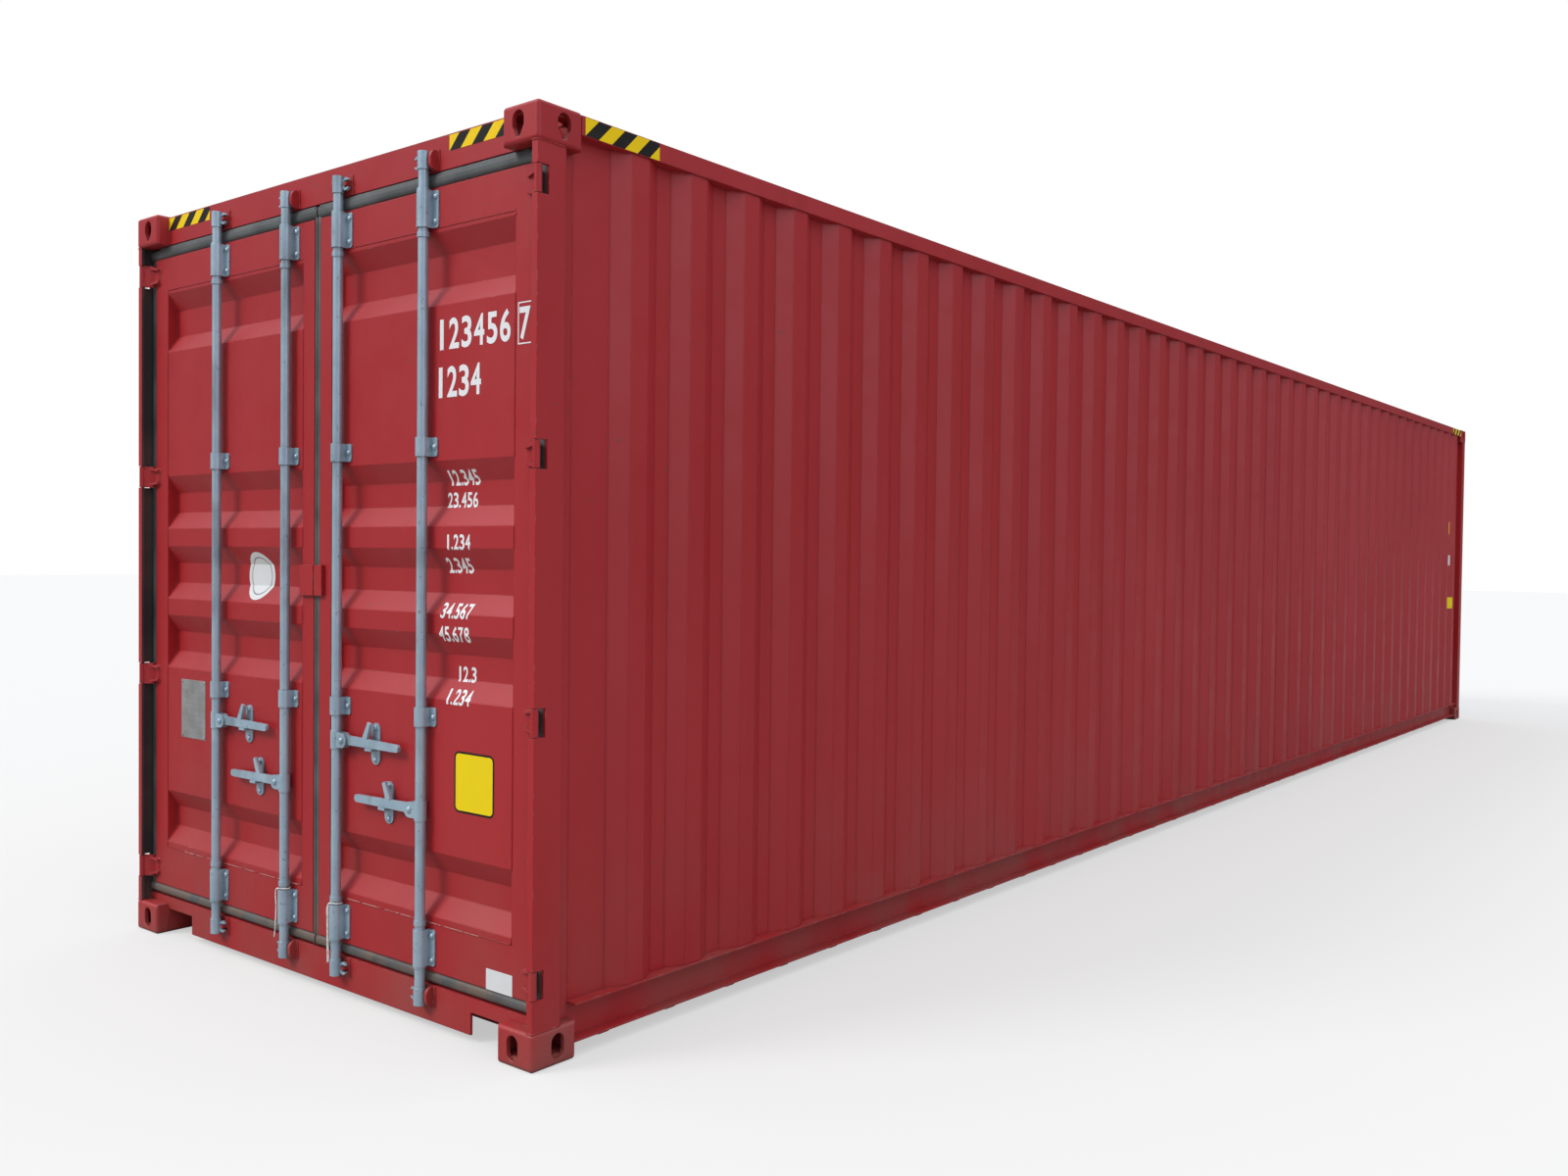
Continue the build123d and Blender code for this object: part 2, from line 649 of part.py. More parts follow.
def plywood_floor():
    web = left_y(BOTTOM_RAIL_WEB_INSET + BOTTOM_RAIL_PLATE)
    return block(RAIL_X, (-web, web), (FLOOR_TOP - FLOOR_THICKNESS, FLOOR_TOP))


# Door leaves

def leaf_frame():
    """Welded frame of the left leaf: two stiles and two cross members."""
    x = (door_x(DOOR_FACE), door_x(DOOR_FACE + LEAF_THICKNESS))
    outside = block(x, (LEAF_CENTRE_GAP, left_y(LEAF_HINGE_INSET)), LEAF_Z)
    return outside - block(x, PANEL_Y, PANEL_Z)


def leaf_panel():
    """Sheet of the left leaf with its pressed horizontal recesses."""
    top_recess = HEIGHT - LEAF_TOP_DROP - TOP_RECESS_DROP
    recesses = [(low, low + RECESS_HEIGHT) for low in RECESS_BOTTOMS]
    recesses.append((top_recess - TOP_RECESS_HEIGHT, top_recess))
    face = DOOR_FACE
    back = DOOR_FACE + RECESS_DEPTH
    points = [(PANEL_Z[0], face)]
    for low, high in recesses:
        points.append((low, face))
        points.append((low + RECESS_SLOPE, back))
        points.append((high - RECESS_SLOPE, back))
        points.append((high, face))
    points.append((PANEL_Z[1], face))
    outline = [(door_x(depth), z) for z, depth in thickened(points, SHEET)]
    return crosswise(outline, PANEL_Y)


def leaf_gasket():
    """Rubber seal of the left leaf: two upright strips between two round lips."""
    back = door_x(DOOR_FACE + LEAF_THICKNESS - GASKET_BACK_STEP)
    flush = (door_x(DOOR_FACE + GASKET_FRONT_STEP), back)
    proud = (door_x(DOOR_FACE - GASKET_LIP_PROUD), back)
    y = (GASKET_CENTRE_GAP, left_y(GASKET_HINGE_INSET))
    strips = [
        (flush, (y[0], LEAF_CENTRE_GAP), LEAF_Z, Axis.Z, GASKET_CENTRE_BULGE),
        (flush, (left_y(LEAF_HINGE_INSET), y[1]), LEAF_Z, Axis.Z, GASKET_BULGE),
        (proud, y, (GASKET_BOTTOM, LEAF_BOTTOM), Axis.Y, GASKET_LIP_RADIUS),
        (proud, y, (LEAF_TOP, HEIGHT - GASKET_TOP_DROP), Axis.Y, GASKET_LIP_RADIUS),
    ]
    seal = Part()
    for x, across, level, along, radius in strips:
        strip = block(x, across, level)
        seal += fillet(strip.faces().sort_by(Axis.X)[0].edges().filter_by(along), radius)
    return seal


def hinge_blades():
    """Forged blades of the left leaf: a knuckle, a cranked neck and a tapered lap with rims."""
    depth = HINGE_AXIS_DEPTH
    inset = HINGE_AXIS_INSET
    neck = BLADE_NECK / 2
    tip = LEAF_HINGE_INSET + BLADE_LAP
    crank = (depth + BLADE_CRANK_REACH, inset + BLADE_CRANK_INSET)
    lap_front = DOOR_FACE - BLADE_LAP_THICKNESS
    outline = [
        (depth - neck, inset + neck), crank, (lap_front, tip), (DOOR_FACE, tip),
        (DOOR_FACE, LEAF_HINGE_INSET - BLADE_NECK), (depth + BLADE_NECK, inset + neck),
    ]
    skin = DOOR_FACE - BLADE_POCKET_SKIN
    pocket = [crank, (skin, LEAF_HINGE_INSET), (skin, tip), (depth, tip)]
    top = HINGE_HEIGHT / 2
    low = BLADE_TIP_HEIGHT / 2
    rim = BLADE_RIM
    taper = [(inset, top), (tip, low), (tip, -low), (inset, -top)]
    recess = [(inset, top - rim), (tip, low - rim), (tip, rim - low), (inset, rim - top)]
    x = (door_x(0), door_x(DOOR_FACE))
    blades = []
    for height in HINGE_HEIGHTS:
        z = (height - top, height + top)
        arm = upright([(door_x(d), left_y(s)) for d, s in outline], z)
        arm &= lengthwise([(left_y(s), height + rise) for s, rise in taper], x)
        hollow = upright([(door_x(d), left_y(s)) for d, s in pocket], z)
        hollow &= lengthwise([(left_y(s), height + rise) for s, rise in recess], x)
        knuckle = Pos(*HINGE_AXIS, height) * Cylinder(KNUCKLE_RADIUS, HINGE_HEIGHT)
        bore = Pos(*HINGE_AXIS, height) * Cylinder(
            HINGE_PIN_RADIUS + HINGE_PIN_CLEARANCE, HINGE_HEIGHT
        )
        blades.append(arm - hollow + knuckle - bore)
    return blades


def hinge_pins():
    """Pins of the left leaf, each held by the post at both ends of its slot."""
    pin = Cylinder(HINGE_PIN_RADIUS, 2 * HINGE_CUT)
    return [Pos(*HINGE_AXIS, height) * pin for height in HINGE_HEIGHTS]


# Lock gear

def bar_bracket(y, z):
    """Strap over a lock bar with a bolting flange, round at its corners, on both sides."""
    axis = door_x(BAR_DEPTH)
    face = door_x(DOOR_FACE)
    inner = BAR_RADIUS + BAR_CLEARANCE
    outer = inner + STRAP
    edge = outer + STRAP_FLANGE
    middle = (z[0] + z[1]) / 2
    height = z[1] - z[0]
    flange = block((face - STRAP, face), (y - edge, y + edge), z)
    strap = fillet(flange.edges().filter_by(Axis.X), STRAP_CORNER)
    arch = Pos(axis, y, middle) * Cylinder(outer, height)
    strap += arch & block((axis - outer, axis), (y - outer, y + outer), z)
    strap += block((axis, face), (y - outer, y + outer), z)
    strap -= Pos(axis, y, middle) * Cylinder(inner, height)
    return strap - block((axis, face), (y - inner, y + inner), z)


def bush(y, z):
    """Bush that stands out of the end of a long bracket, sleeved on the bar."""
    place = Pos(door_x(BAR_DEPTH), y, (z[0] + z[1]) / 2)
    inner = BAR_RADIUS + BAR_CLEARANCE
    return place * (Cylinder(inner + BUSH_WALL, z[1] - z[0]) - Cylinder(inner, z[1] - z[0]))


def bar_brackets(names):
    """Two long and two short brackets for each of a leaf's bars."""
    brackets = []
    for name in names:
        y = BARS[name][0]
        low, high = LONG_BRACKETS
        brackets.append(bar_bracket(y, low) + bush(y, (low[0] - BUSH_PROUD, low[0])))
        brackets.append(bar_bracket(y, high) + bush(y, (high[1], high[1] + BUSH_PROUD)))
        for middle in (LOWER_CLAMP, UPPER_CLAMP):
            z = (middle - SHORT_BRACKET / 2, middle + SHORT_BRACKET / 2)
            brackets.append(bar_bracket(y, z))
    return brackets


def cam_keeper(y, side, low):
    """Keeper on the header or sill: a round cheek beside the bar and the stub that the claw grips."""
    face = DOOR_FACE
    z = (low, low + KEEPER_HEIGHT)
    half = KEEPER_BASE_WIDTH / 2
    keeper = block((door_x(face - KEEPER_BASE), door_x(face)), (y - half, y + half), z)
    near = y - side * (CAM_RADIUS + KEEPER_GAP)
    far = near - side * KEEPER_CHEEK
    front = door_x(face - KEEPER_CHEEK_REACH)
    cheek = block((front, door_x(face)), (min(near, far), max(near, far)), z)
    round_edges = cheek.faces().sort_by(Axis.X)[0].edges().filter_by(Axis.Y)
    keeper += fillet(round_edges, KEEPER_CHEEK_REACH - KEEPER_BASE)
    stub_front = CLAW_FRONT - STUB_PROUD
    stub = Rot(0, 90, 0) * Cylinder(STUB_RADIUS, face - stub_front)
    return keeper + Pos(door_x((stub_front + face) / 2), y + side * STUB_REACH, sum(z) / 2) * stub


def cam_keepers():
    return [cam_keeper(y, side, low) for y, side, height in BARS.values() for low in KEEPER_BOTTOMS]


def cam(y, side, low):
    """Cam at the end of a bar: a boss with a claw that is open round the stub of the keeper."""
    middle = low + KEEPER_HEIGHT / 2
    boss = Pos(door_x(BAR_DEPTH), y, middle) * Cylinder(CAM_RADIUS, CAM_HEIGHT)
    notch = STUB_RADIUS + CLAW_STUB_GAP
    outer = notch + CLAW_RING
    centre = y + side * STUB_REACH
    place = Pos(sum(CLAW_X) / 2, centre, middle) * Rot(0, 90, 0)
    claw = place * (Cylinder(outer, CLAW_THICKNESS) - Cylinder(notch, CLAW_THICKNESS))
    claw -= block(CLAW_X, (centre, centre + side * outer), (middle - notch, middle + notch))
    return boss + claw


def handle_hub(y, side, height):
    """Sleeve on a bar with two ears and the pin that the handle lifts on."""
    axis = door_x(BAR_DEPTH)
    hub = Pos(axis, y, height) * Cylinder(COLLAR_RADIUS, HUB_HEIGHT)
    pin_y = y + side * HANDLE_PIN_OFFSET
    reach = HANDLE_THICKNESS / 2 + EAR_GAP
    for face in (-1, 1):
        x = (axis + face * reach, axis + face * (reach + EAR_THICKNESS))
        z = (height - EAR_HEIGHT / 2, height + EAR_HEIGHT / 2)
        ear = block(x, (y, pin_y), z)
        round_end = Rot(0, 90, 0) * Cylinder(EAR_HEIGHT / 2, EAR_THICKNESS)
        hub += ear + Pos((x[0] + x[1]) / 2, pin_y, height) * round_end
    length = 2 * (reach + EAR_THICKNESS)
    return hub + Pos(axis, pin_y, height) * Rot(0, 90, 0) * Cylinder(HANDLE_PIN_RADIUS, length)


def lock_bar(name):
    """Bar with its two cams, its stop collars and the hub of its handle."""
    y, side, height = BARS[name]
    axis = door_x(BAR_DEPTH)
    bar = Pos(axis, y, sum(BAR_Z) / 2) * Cylinder(BAR_RADIUS, BAR_Z[1] - BAR_Z[0])
    collars = (LONG_BRACKETS[0][1] + COLLAR_GAP, LONG_BRACKETS[1][0] - COLLAR_GAP - COLLAR_HEIGHT)
    for low in collars:
        bar += Pos(axis, y, low + COLLAR_HEIGHT / 2) * Cylinder(COLLAR_RADIUS, COLLAR_HEIGHT)
    for low in KEEPER_BOTTOMS:
        bar += cam(y, side, low)
    return bar + handle_hub(y, side, height)


def handle(name):
    """Flat handle: a round eye on the pin, a tapered bar with a round tip and a seal finger."""
    y, side, height = BARS[name]
    start = HANDLE_PIN_OFFSET
    tip = HANDLE_TIP / 2
    finger = FINGER_START + FINGER_LEAN
    lean = [
        (FINGER_START, 0), (FINGER_START + FINGER_WIDTH, 0), (finger + FINGER_TIP, FINGER_RISE),
        (finger, FINGER_RISE + FINGER_TIP / 2),
    ]
    taper = [
        (start, HANDLE_ROOT_RADIUS), (HANDLE_LENGTH - tip, tip), (HANDLE_LENGTH - tip, -tip),
        (start, -tip),
    ]
    x = (door_x(BAR_DEPTH - HANDLE_THICKNESS / 2), door_x(BAR_DEPTH + HANDLE_THICKNESS / 2))
    bar = lengthwise([(y + side * reach, height + rise) for reach, rise in taper], x)
    bar += lengthwise([(y + side * reach, height + rise) for reach, rise in lean], x)
    across = Rot(0, 90, 0)
    pin = Pos(door_x(BAR_DEPTH), y + side * start, height) * across
    bar += Pos(door_x(BAR_DEPTH), y + side * (HANDLE_LENGTH - tip), height) * across * Cylinder(
        tip, HANDLE_THICKNESS
    )
    bar += pin * Cylinder(HANDLE_ROOT_RADIUS, HANDLE_THICKNESS)
    return bar - pin * Cylinder(HANDLE_PIN_RADIUS + HANDLE_PIN_CLEARANCE, HANDLE_THICKNESS)


def handle_cradle(name):
    """Plate on the leaf with a ledge that the stowed handle rests on."""
    bar_y, side, height = BARS[name]
    y = bar_y + side * CRADLE_OFFSET
    seat = height - HANDLE_TIP / 2 - SEAT_GAP
    face = Plane(origin=(door_x(DOOR_FACE), y, height), x_dir=(0, 0, 1), z_dir=(-1, 0, 0))
    plate = extrude(face * SlotOverall(CRADLE_HEIGHT, CRADLE_WIDTH), amount=CRADLE_PLATE)
    ledge = CRADLE_LEDGE_WIDTH / 2
    shelf = block(
        (door_x(BAR_DEPTH - HANDLE_THICKNESS / 2 - CRADLE_LEDGE_LIP), door_x(DOOR_FACE)),
        (y - ledge, y + ledge),
        (seat - CRADLE_LEDGE, seat),
    )
    return plate + shelf


def lock_plate(y):
    """Half of the locking plate across the centre line."""
    x = (door_x(DOOR_FACE - LOCK_PLATE_DEPTH), door_x(DOOR_FACE))
    return block(x, y, (LOCK_PLATE_BOTTOM, LOCK_PLATE_BOTTOM + LOCK_PLATE_HEIGHT))


def tie_rope(route):
    """Limp rope: straight runs joined by arcs as large as the runs allow."""
    points = [Vector(door_x(depth), y, z) for depth, y, z in route]
    radii = []
    for before, here, after in zip(points, points[1:], points[2:]):
        arriving = here - before
        leaving = after - here
        shorter = min(arriving.length, leaving.length)
        turn = radians(arriving.get_angle(leaving))
        radii.append(ROPE_BEND * shorter / tan(turn / 2))
    path = FilletPolyline(*points, radius=radii)
    section = Plane(origin=path @ 0, z_dir=path % 0) * Circle(ROPE_RADIUS)
    rope = sweep(section, path=path)
    print("rope radii", [round(r, 1) for r in radii])
    print("rope volume", round(rope.volume), "against", round(pi * ROPE_RADIUS**2 * path.length))
    print("rope length", round(path.length, 1))
    return rope


# Every piece by its name, with one list of solids each

LEFT_BARS = ("1", "2")
RIGHT_BARS = ("3", "4")
pieces = {
    "bottom_corner_castings": bottom_castings(),
    "top_corner_castings": top_castings(),
    "rear_post_left": [rear_post()],
    "rear_post_right": [other_side(rear_post())],
    "front_post_left": [front_post()],
    "front_post_right": [other_side(front_post())],
    "top_side_rail_left": [top_rail()],
    "top_side_rail_right": [other_side(top_rail())],
    "bottom_side_rail_left": [bottom_rail()],
    "bottom_side_rail_right": [other_side(bottom_rail())],
    "door_header": [door_header()],
    "door_sill": [door_sill()],
    "front_header": [front_header()],
    "front_sill": [front_sill()],
    "side_wall_left": [side_wall()],
    "side_wall_right": [other_side(side_wall())],
    "front_wall": [front_wall()],
    "roof": [roof()],
    "floor_cross_members": cross_members(),
    "gooseneck_tunnel": [gooseneck_tunnel()],
    "plywood_floor": [plywood_floor()],
    "hinge_pins_left": hinge_pins(),
    "hinge_pins_right": [other_side(pin) for pin in hinge_pins()],
    "cam_keepers": cam_keepers(),
    "door_frame_left": [leaf_frame()],
    "door_frame_right": [other_side(leaf_frame())],
    "door_panel_left": [leaf_panel()],
    "door_panel_right": [other_side(leaf_panel())],
    "door_gasket_left": [leaf_gasket()],
    "door_gasket_right": [other_side(leaf_gasket())],
    "hinge_blades_left": hinge_blades(),
    "hinge_blades_right": [other_side(blade) for blade in hinge_blades()],
    "bar_brackets_left": bar_brackets(LEFT_BARS),
    "bar_brackets_right": bar_brackets(RIGHT_BARS),
    "handle_cradles_left": [handle_cradle(name) for name in LEFT_BARS],
    "handle_cradles_right": [handle_cradle(name) for name in RIGHT_BARS],
    "lock_plate_left": [lock_plate((LOCK_PLATE_GAP, LOCK_PLATE_LEFT))],
    "lock_plate_right": [lock_plate((-LOCK_PLATE_RIGHT, -LOCK_PLATE_GAP))],
    "tie_rope_left": [tie_rope(LEFT_ROPE)],
    "tie_rope_right": [tie_rope(RIGHT_ROPE)],
}
for bar_name in BARS:
    pieces["lock_bar_" + bar_name] = [lock_bar(bar_name)]
    pieces["handle_" + bar_name] = [handle(bar_name)]

os.makedirs("parts", exist_ok=True)
for piece_name, shapes in pieces.items():
    solids = [solid for shape in shapes for solid in shape.solids()]
    export_step(solids[0] if len(solids) == 1 else Compound(solids), f"parts/{piece_name}.step")
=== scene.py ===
import math
import random

import bmesh
import bpy
from mathutils import Matrix, Vector
from mathutils.bvhtree import BVHTree


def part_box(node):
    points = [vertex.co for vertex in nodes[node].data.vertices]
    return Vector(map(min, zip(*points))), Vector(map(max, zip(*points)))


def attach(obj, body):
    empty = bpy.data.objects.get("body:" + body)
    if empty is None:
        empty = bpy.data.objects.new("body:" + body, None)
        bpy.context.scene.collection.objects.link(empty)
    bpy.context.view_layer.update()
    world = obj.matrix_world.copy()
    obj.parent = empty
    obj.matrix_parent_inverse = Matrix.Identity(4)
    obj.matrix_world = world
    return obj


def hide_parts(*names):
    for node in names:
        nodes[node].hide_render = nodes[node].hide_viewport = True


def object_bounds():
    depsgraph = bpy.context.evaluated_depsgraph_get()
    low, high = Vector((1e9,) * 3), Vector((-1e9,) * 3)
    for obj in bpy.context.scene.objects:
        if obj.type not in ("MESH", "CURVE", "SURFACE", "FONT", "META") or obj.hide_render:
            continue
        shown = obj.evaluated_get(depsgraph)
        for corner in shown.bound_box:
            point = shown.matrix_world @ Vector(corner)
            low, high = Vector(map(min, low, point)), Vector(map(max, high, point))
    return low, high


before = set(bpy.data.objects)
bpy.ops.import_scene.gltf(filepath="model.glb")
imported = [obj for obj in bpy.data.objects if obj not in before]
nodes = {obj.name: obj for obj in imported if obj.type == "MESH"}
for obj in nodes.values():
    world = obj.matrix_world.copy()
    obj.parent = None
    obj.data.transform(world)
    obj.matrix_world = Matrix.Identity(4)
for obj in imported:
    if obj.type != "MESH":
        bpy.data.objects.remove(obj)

cad_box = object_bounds()


# The view of the photograph: a camera at eye height, close to the right door post and turned
# along the container, so that the doors and the whole right side show.
CAMERA_PLACE = Vector((-8.738, -4.258, 1.554))
CAMERA_HEADING = math.radians(38.45)
CAMERA_PITCH = math.radians(-1.321)
CAMERA_ROLL = math.radians(0.644)
CAMERA_LENS = 30.73
CAMERA_REACH = 200.0

aim = Vector((
    math.cos(CAMERA_PITCH) * math.cos(CAMERA_HEADING),
    math.cos(CAMERA_PITCH) * math.sin(CAMERA_HEADING),
    math.sin(CAMERA_PITCH),
))
level = aim.cross(Vector((0, 0, 1))).normalized()
upward = level.cross(aim)
across = level * math.cos(CAMERA_ROLL) + upward * math.sin(CAMERA_ROLL)
camera = bpy.data.objects.new("camera", bpy.data.cameras.new("camera"))
camera.data.lens = CAMERA_LENS
camera.data.clip_end = CAMERA_REACH
camera.matrix_world = Matrix((
    (across.x, (-aim).cross(across).x, -aim.x, CAMERA_PLACE.x),
    (across.y, (-aim).cross(across).y, -aim.y, CAMERA_PLACE.y),
    (across.z, (-aim).cross(across).z, -aim.z, CAMERA_PLACE.z),
    (0, 0, 0, 1),
))
bpy.context.scene.collection.objects.link(camera)
bpy.context.scene.camera = camera
bpy.context.scene.view_settings.view_transform = "Standard"


# The studio: a plain pale floor under a white sky that lights most from overhead and a little from
# the right, with one soft sun from the left of the doors, so that the long side is in shade.
FLOOR_SIZE = 160.0
FLOOR_COLOUR = (0.31, 0.30, 0.28, 1)
FLOOR_LIFT = 0.52
HORIZON_LIGHT = 0.18
ZENITH_LIGHT = 1.70
RIGHT_LIGHT = 1.15
RIGHT_SPREAD = (-0.78, -1.0)
FAR_SHADE = 0.55
FAR_SPREAD = (0.1, 0.9)
SKY_TINT = (0.90, 0.97, 1.08, 1)
WHITE = (1, 1, 1, 1)
SUN_LIGHT = 1.56
SUN_SPREAD = math.radians(22)
SUN_TRAVEL = Vector((0.66, -0.42, -0.62))


def plug(tree, socket, value):
    """Gives a socket a value or the output of another node."""
    if isinstance(value, bpy.types.NodeSocket):
        tree.links.new(value, socket)
    else:
        socket.default_value = value


def shader(tree, kind, fill=None, **settings):
    """Adds one shader node and fills its sockets."""
    made = tree.nodes.new("ShaderNode" + kind)
    for key, value in settings.items():
        setattr(made, key, value)
    for socket, value in (fill or {}).items():
        plug(tree, made.inputs[socket], value)
    return made


def add_mesh(name, mesh_maker, materials):
    """Makes one object from a bmesh and links it to the scene."""
    mesh = bpy.data.meshes.new(name)
    mesh_maker.normal_update()
    mesh_maker.to_mesh(mesh)
    mesh_maker.free()
    for material in materials:
        mesh.materials.append(material)
    piece = bpy.data.objects.new(name, mesh)
    bpy.context.scene.collection.objects.link(piece)
    return piece


def seen_directly(tree):
    """1 for rays from the eye, 0 for rays that carry light."""
    path = shader(tree, "LightPath")
    sight = {0: path.outputs["Is Camera Ray"], 1: path.outputs["Is Transmission Ray"]}
    return shader(tree, "Math", sight, operation="MAXIMUM").outputs[0]


def studio_sky():
    world = bpy.data.worlds.new("studio_sky")
    world.use_nodes = True
    tree = world.node_tree
    tree.nodes.clear()
    toward = shader(tree, "SeparateXYZ", {0: shader(tree, "TexCoord").outputs["Generated"]})
    overhead = {0: toward.outputs[2], 3: HORIZON_LIGHT, 4: ZENITH_LIGHT}
    dome = shader(tree, "MapRange", overhead, interpolation_type="SMOOTHSTEP")
    behind = {0: toward.outputs[0], 1: FAR_SPREAD[0], 2: FAR_SPREAD[1], 3: 1.0, 4: FAR_SHADE}
    shade = shader(tree, "MapRange", behind, interpolation_type="SMOOTHSTEP")
    right = {0: toward.outputs[1], 1: RIGHT_SPREAD[0], 2: RIGHT_SPREAD[1], 3: 0.0, 4: RIGHT_LIGHT}
    panel = shader(tree, "MapRange", right, interpolation_type="SMOOTHSTEP")
    parts = {0: dome.outputs[0], 1: shade.outputs[0], 2: panel.outputs[0]}
    light = shader(tree, "Math", parts, operation="MULTIPLY_ADD")
    lighting = shader(tree, "Background", {0: SKY_TINT, 1: light.outputs[0]})
    white = shader(tree, "Background", {0: WHITE, 1: 1.0})
    sky = {0: seen_directly(tree), 1: lighting.outputs[0], 2: white.outputs[0]}
    shader(tree, "OutputWorld", {0: shader(tree, "MixShader", sky).outputs[0]})
    return world


def studio_floor_finish():
    material = bpy.data.materials.new("studio_floor")
    material.use_nodes = True
    tree = material.node_tree
    tree.nodes.clear()
    matt = shader(tree, "BsdfDiffuse", {0: FLOOR_COLOUR})
    lift = shader(tree, "Math", {0: seen_directly(tree), 1: FLOOR_LIFT}, operation="MULTIPLY")
    glow = shader(tree, "Emission", {0: WHITE, 1: lift.outputs[0]})
    both = shader(tree, "AddShader", {0: matt.outputs[0], 1: glow.outputs[0]})
    shader(tree, "OutputMaterial", {0: both.outputs[0]})
    return material


bpy.context.scene.world = studio_sky()
floor_mesh = bmesh.new()
bmesh.ops.create_grid(floor_mesh, x_segments=1, y_segments=1, size=FLOOR_SIZE / 2)
studio_floor = add_mesh("studio_floor", floor_mesh, [studio_floor_finish()])
sun = bpy.data.objects.new("sun", bpy.data.lights.new("sun", "SUN"))
sun.data.energy = SUN_LIGHT
sun.data.angle = SUN_SPREAD
sun.rotation_mode = "QUATERNION"
sun.rotation_quaternion = SUN_TRAVEL.to_track_quat("-Z", "Y")
bpy.context.scene.collection.objects.link(sun)


# Corner castings: eight hollow steel blocks with slots for twistlocks, cast in one piece and
# painted with the frame. Hooks and locks rub their edges, which are painted pale as wear and as a
# painted highlight, and rust gathers inside them.
CONTAINER_RED = (0.385, 0.0135, 0.0165, 1)
FADED_RED = (0.423, 0.021, 0.025, 1)
DEEP_RED = (0.288, 0.009, 0.012, 1)
ROAD_DUST = (0.235, 0.120, 0.095, 1)
# pale pink on the edges: worn paint, and a painted highlight along them
WEAR_AND_HIGHLIGHT_PINK = (0.520, 0.235, 0.225, 1)
RUST_BROWN = (0.105, 0.050, 0.033, 1)
PALE_PRIMER = (0.500, 0.505, 0.485, 1)


def mixed(tree, factor, first, second):
    """Colour between two colours by a factor from 0 to 1."""
    return shader(tree, "Mix", {0: factor, 6: first, 7: second}, data_type="RGBA").outputs[2]


def product(tree, first, second):
    return shader(tree, "Math", {0: first, 1: second}, operation="MULTIPLY").outputs[0]


def speckle(tree, place, scale, low, high, stretch=(1, 1, 1), detail=4.0, seed=0.0):
    """Noise in the piece's own frame, spread from 0 to 1 between two of its levels."""
    shift = (seed, seed * 1.7, seed * 0.6)
    mapped = shader(tree, "Mapping", {0: place, 1: shift, 3: stretch})
    noise = shader(tree, "TexNoise", {"Vector": mapped.outputs[0], "Scale": scale, "Detail": detail})
    spread = {0: noise.outputs[0], 1: low, 2: high}
    return shader(tree, "MapRange", spread, interpolation_type="SMOOTHSTEP").outputs[0]


def begin_finish(name):
    """New material with its shader, and the place of each point in the piece's own frame."""
    material = bpy.data.materials.new(name)
    material.use_nodes = True
    tree = material.node_tree
    return material, tree, tree.nodes["Principled BSDF"], shader(tree, "TexCoord").outputs["Object"]


def end_finish(tree, surface, colour, rough, bump):
    """Joins the colour, the roughness and the bump of a finish to its shader."""
    for name, value in (("Base Color", colour), ("Roughness", rough), ("Normal", bump.outputs[0])):
        plug(tree, surface.inputs[name], value)


def edge_wear_and_highlight(tree, place, radius, amount, seed):
    """A softened normal at the edges, and where those edges go pale: worn paint, with a painted highlight.
    """
    rounded = shader(tree, "Bevel", {0: radius}, samples=2)
    flat = shader(tree, "NewGeometry").outputs["Normal"]
    along = shader(tree, "VectorMath", {0: rounded.outputs[0], 1: flat}, operation="DOT_PRODUCT")
    edge = shader(tree, "MapRange", {0: along.outputs["Value"], 1: 0.995, 2: 0.80})
    broken = speckle(tree, place, 30.0, 0.66 - amount, 0.76 - amount, seed=seed)
    return rounded.outputs[0], product(tree, edge.outputs[0], broken)


def low_grime(tree, place, colour, amount, seed):
    """Road dust that lies thickest near the floor and runs out upward in patches."""
    height = shader(tree, "SeparateXYZ", {0: place}).outputs[2]
    low = shader(tree, "MapRange", {0: height, 1: 0.80, 2: 0.02}).outputs[0]
    patchy = speckle(tree, place, 3.2, 0.30, 0.75, stretch=(1, 1, 0.5), seed=seed + 3)
    return mixed(tree, product(tree, product(tree, low, patchy), amount), colour, ROAD_DUST)


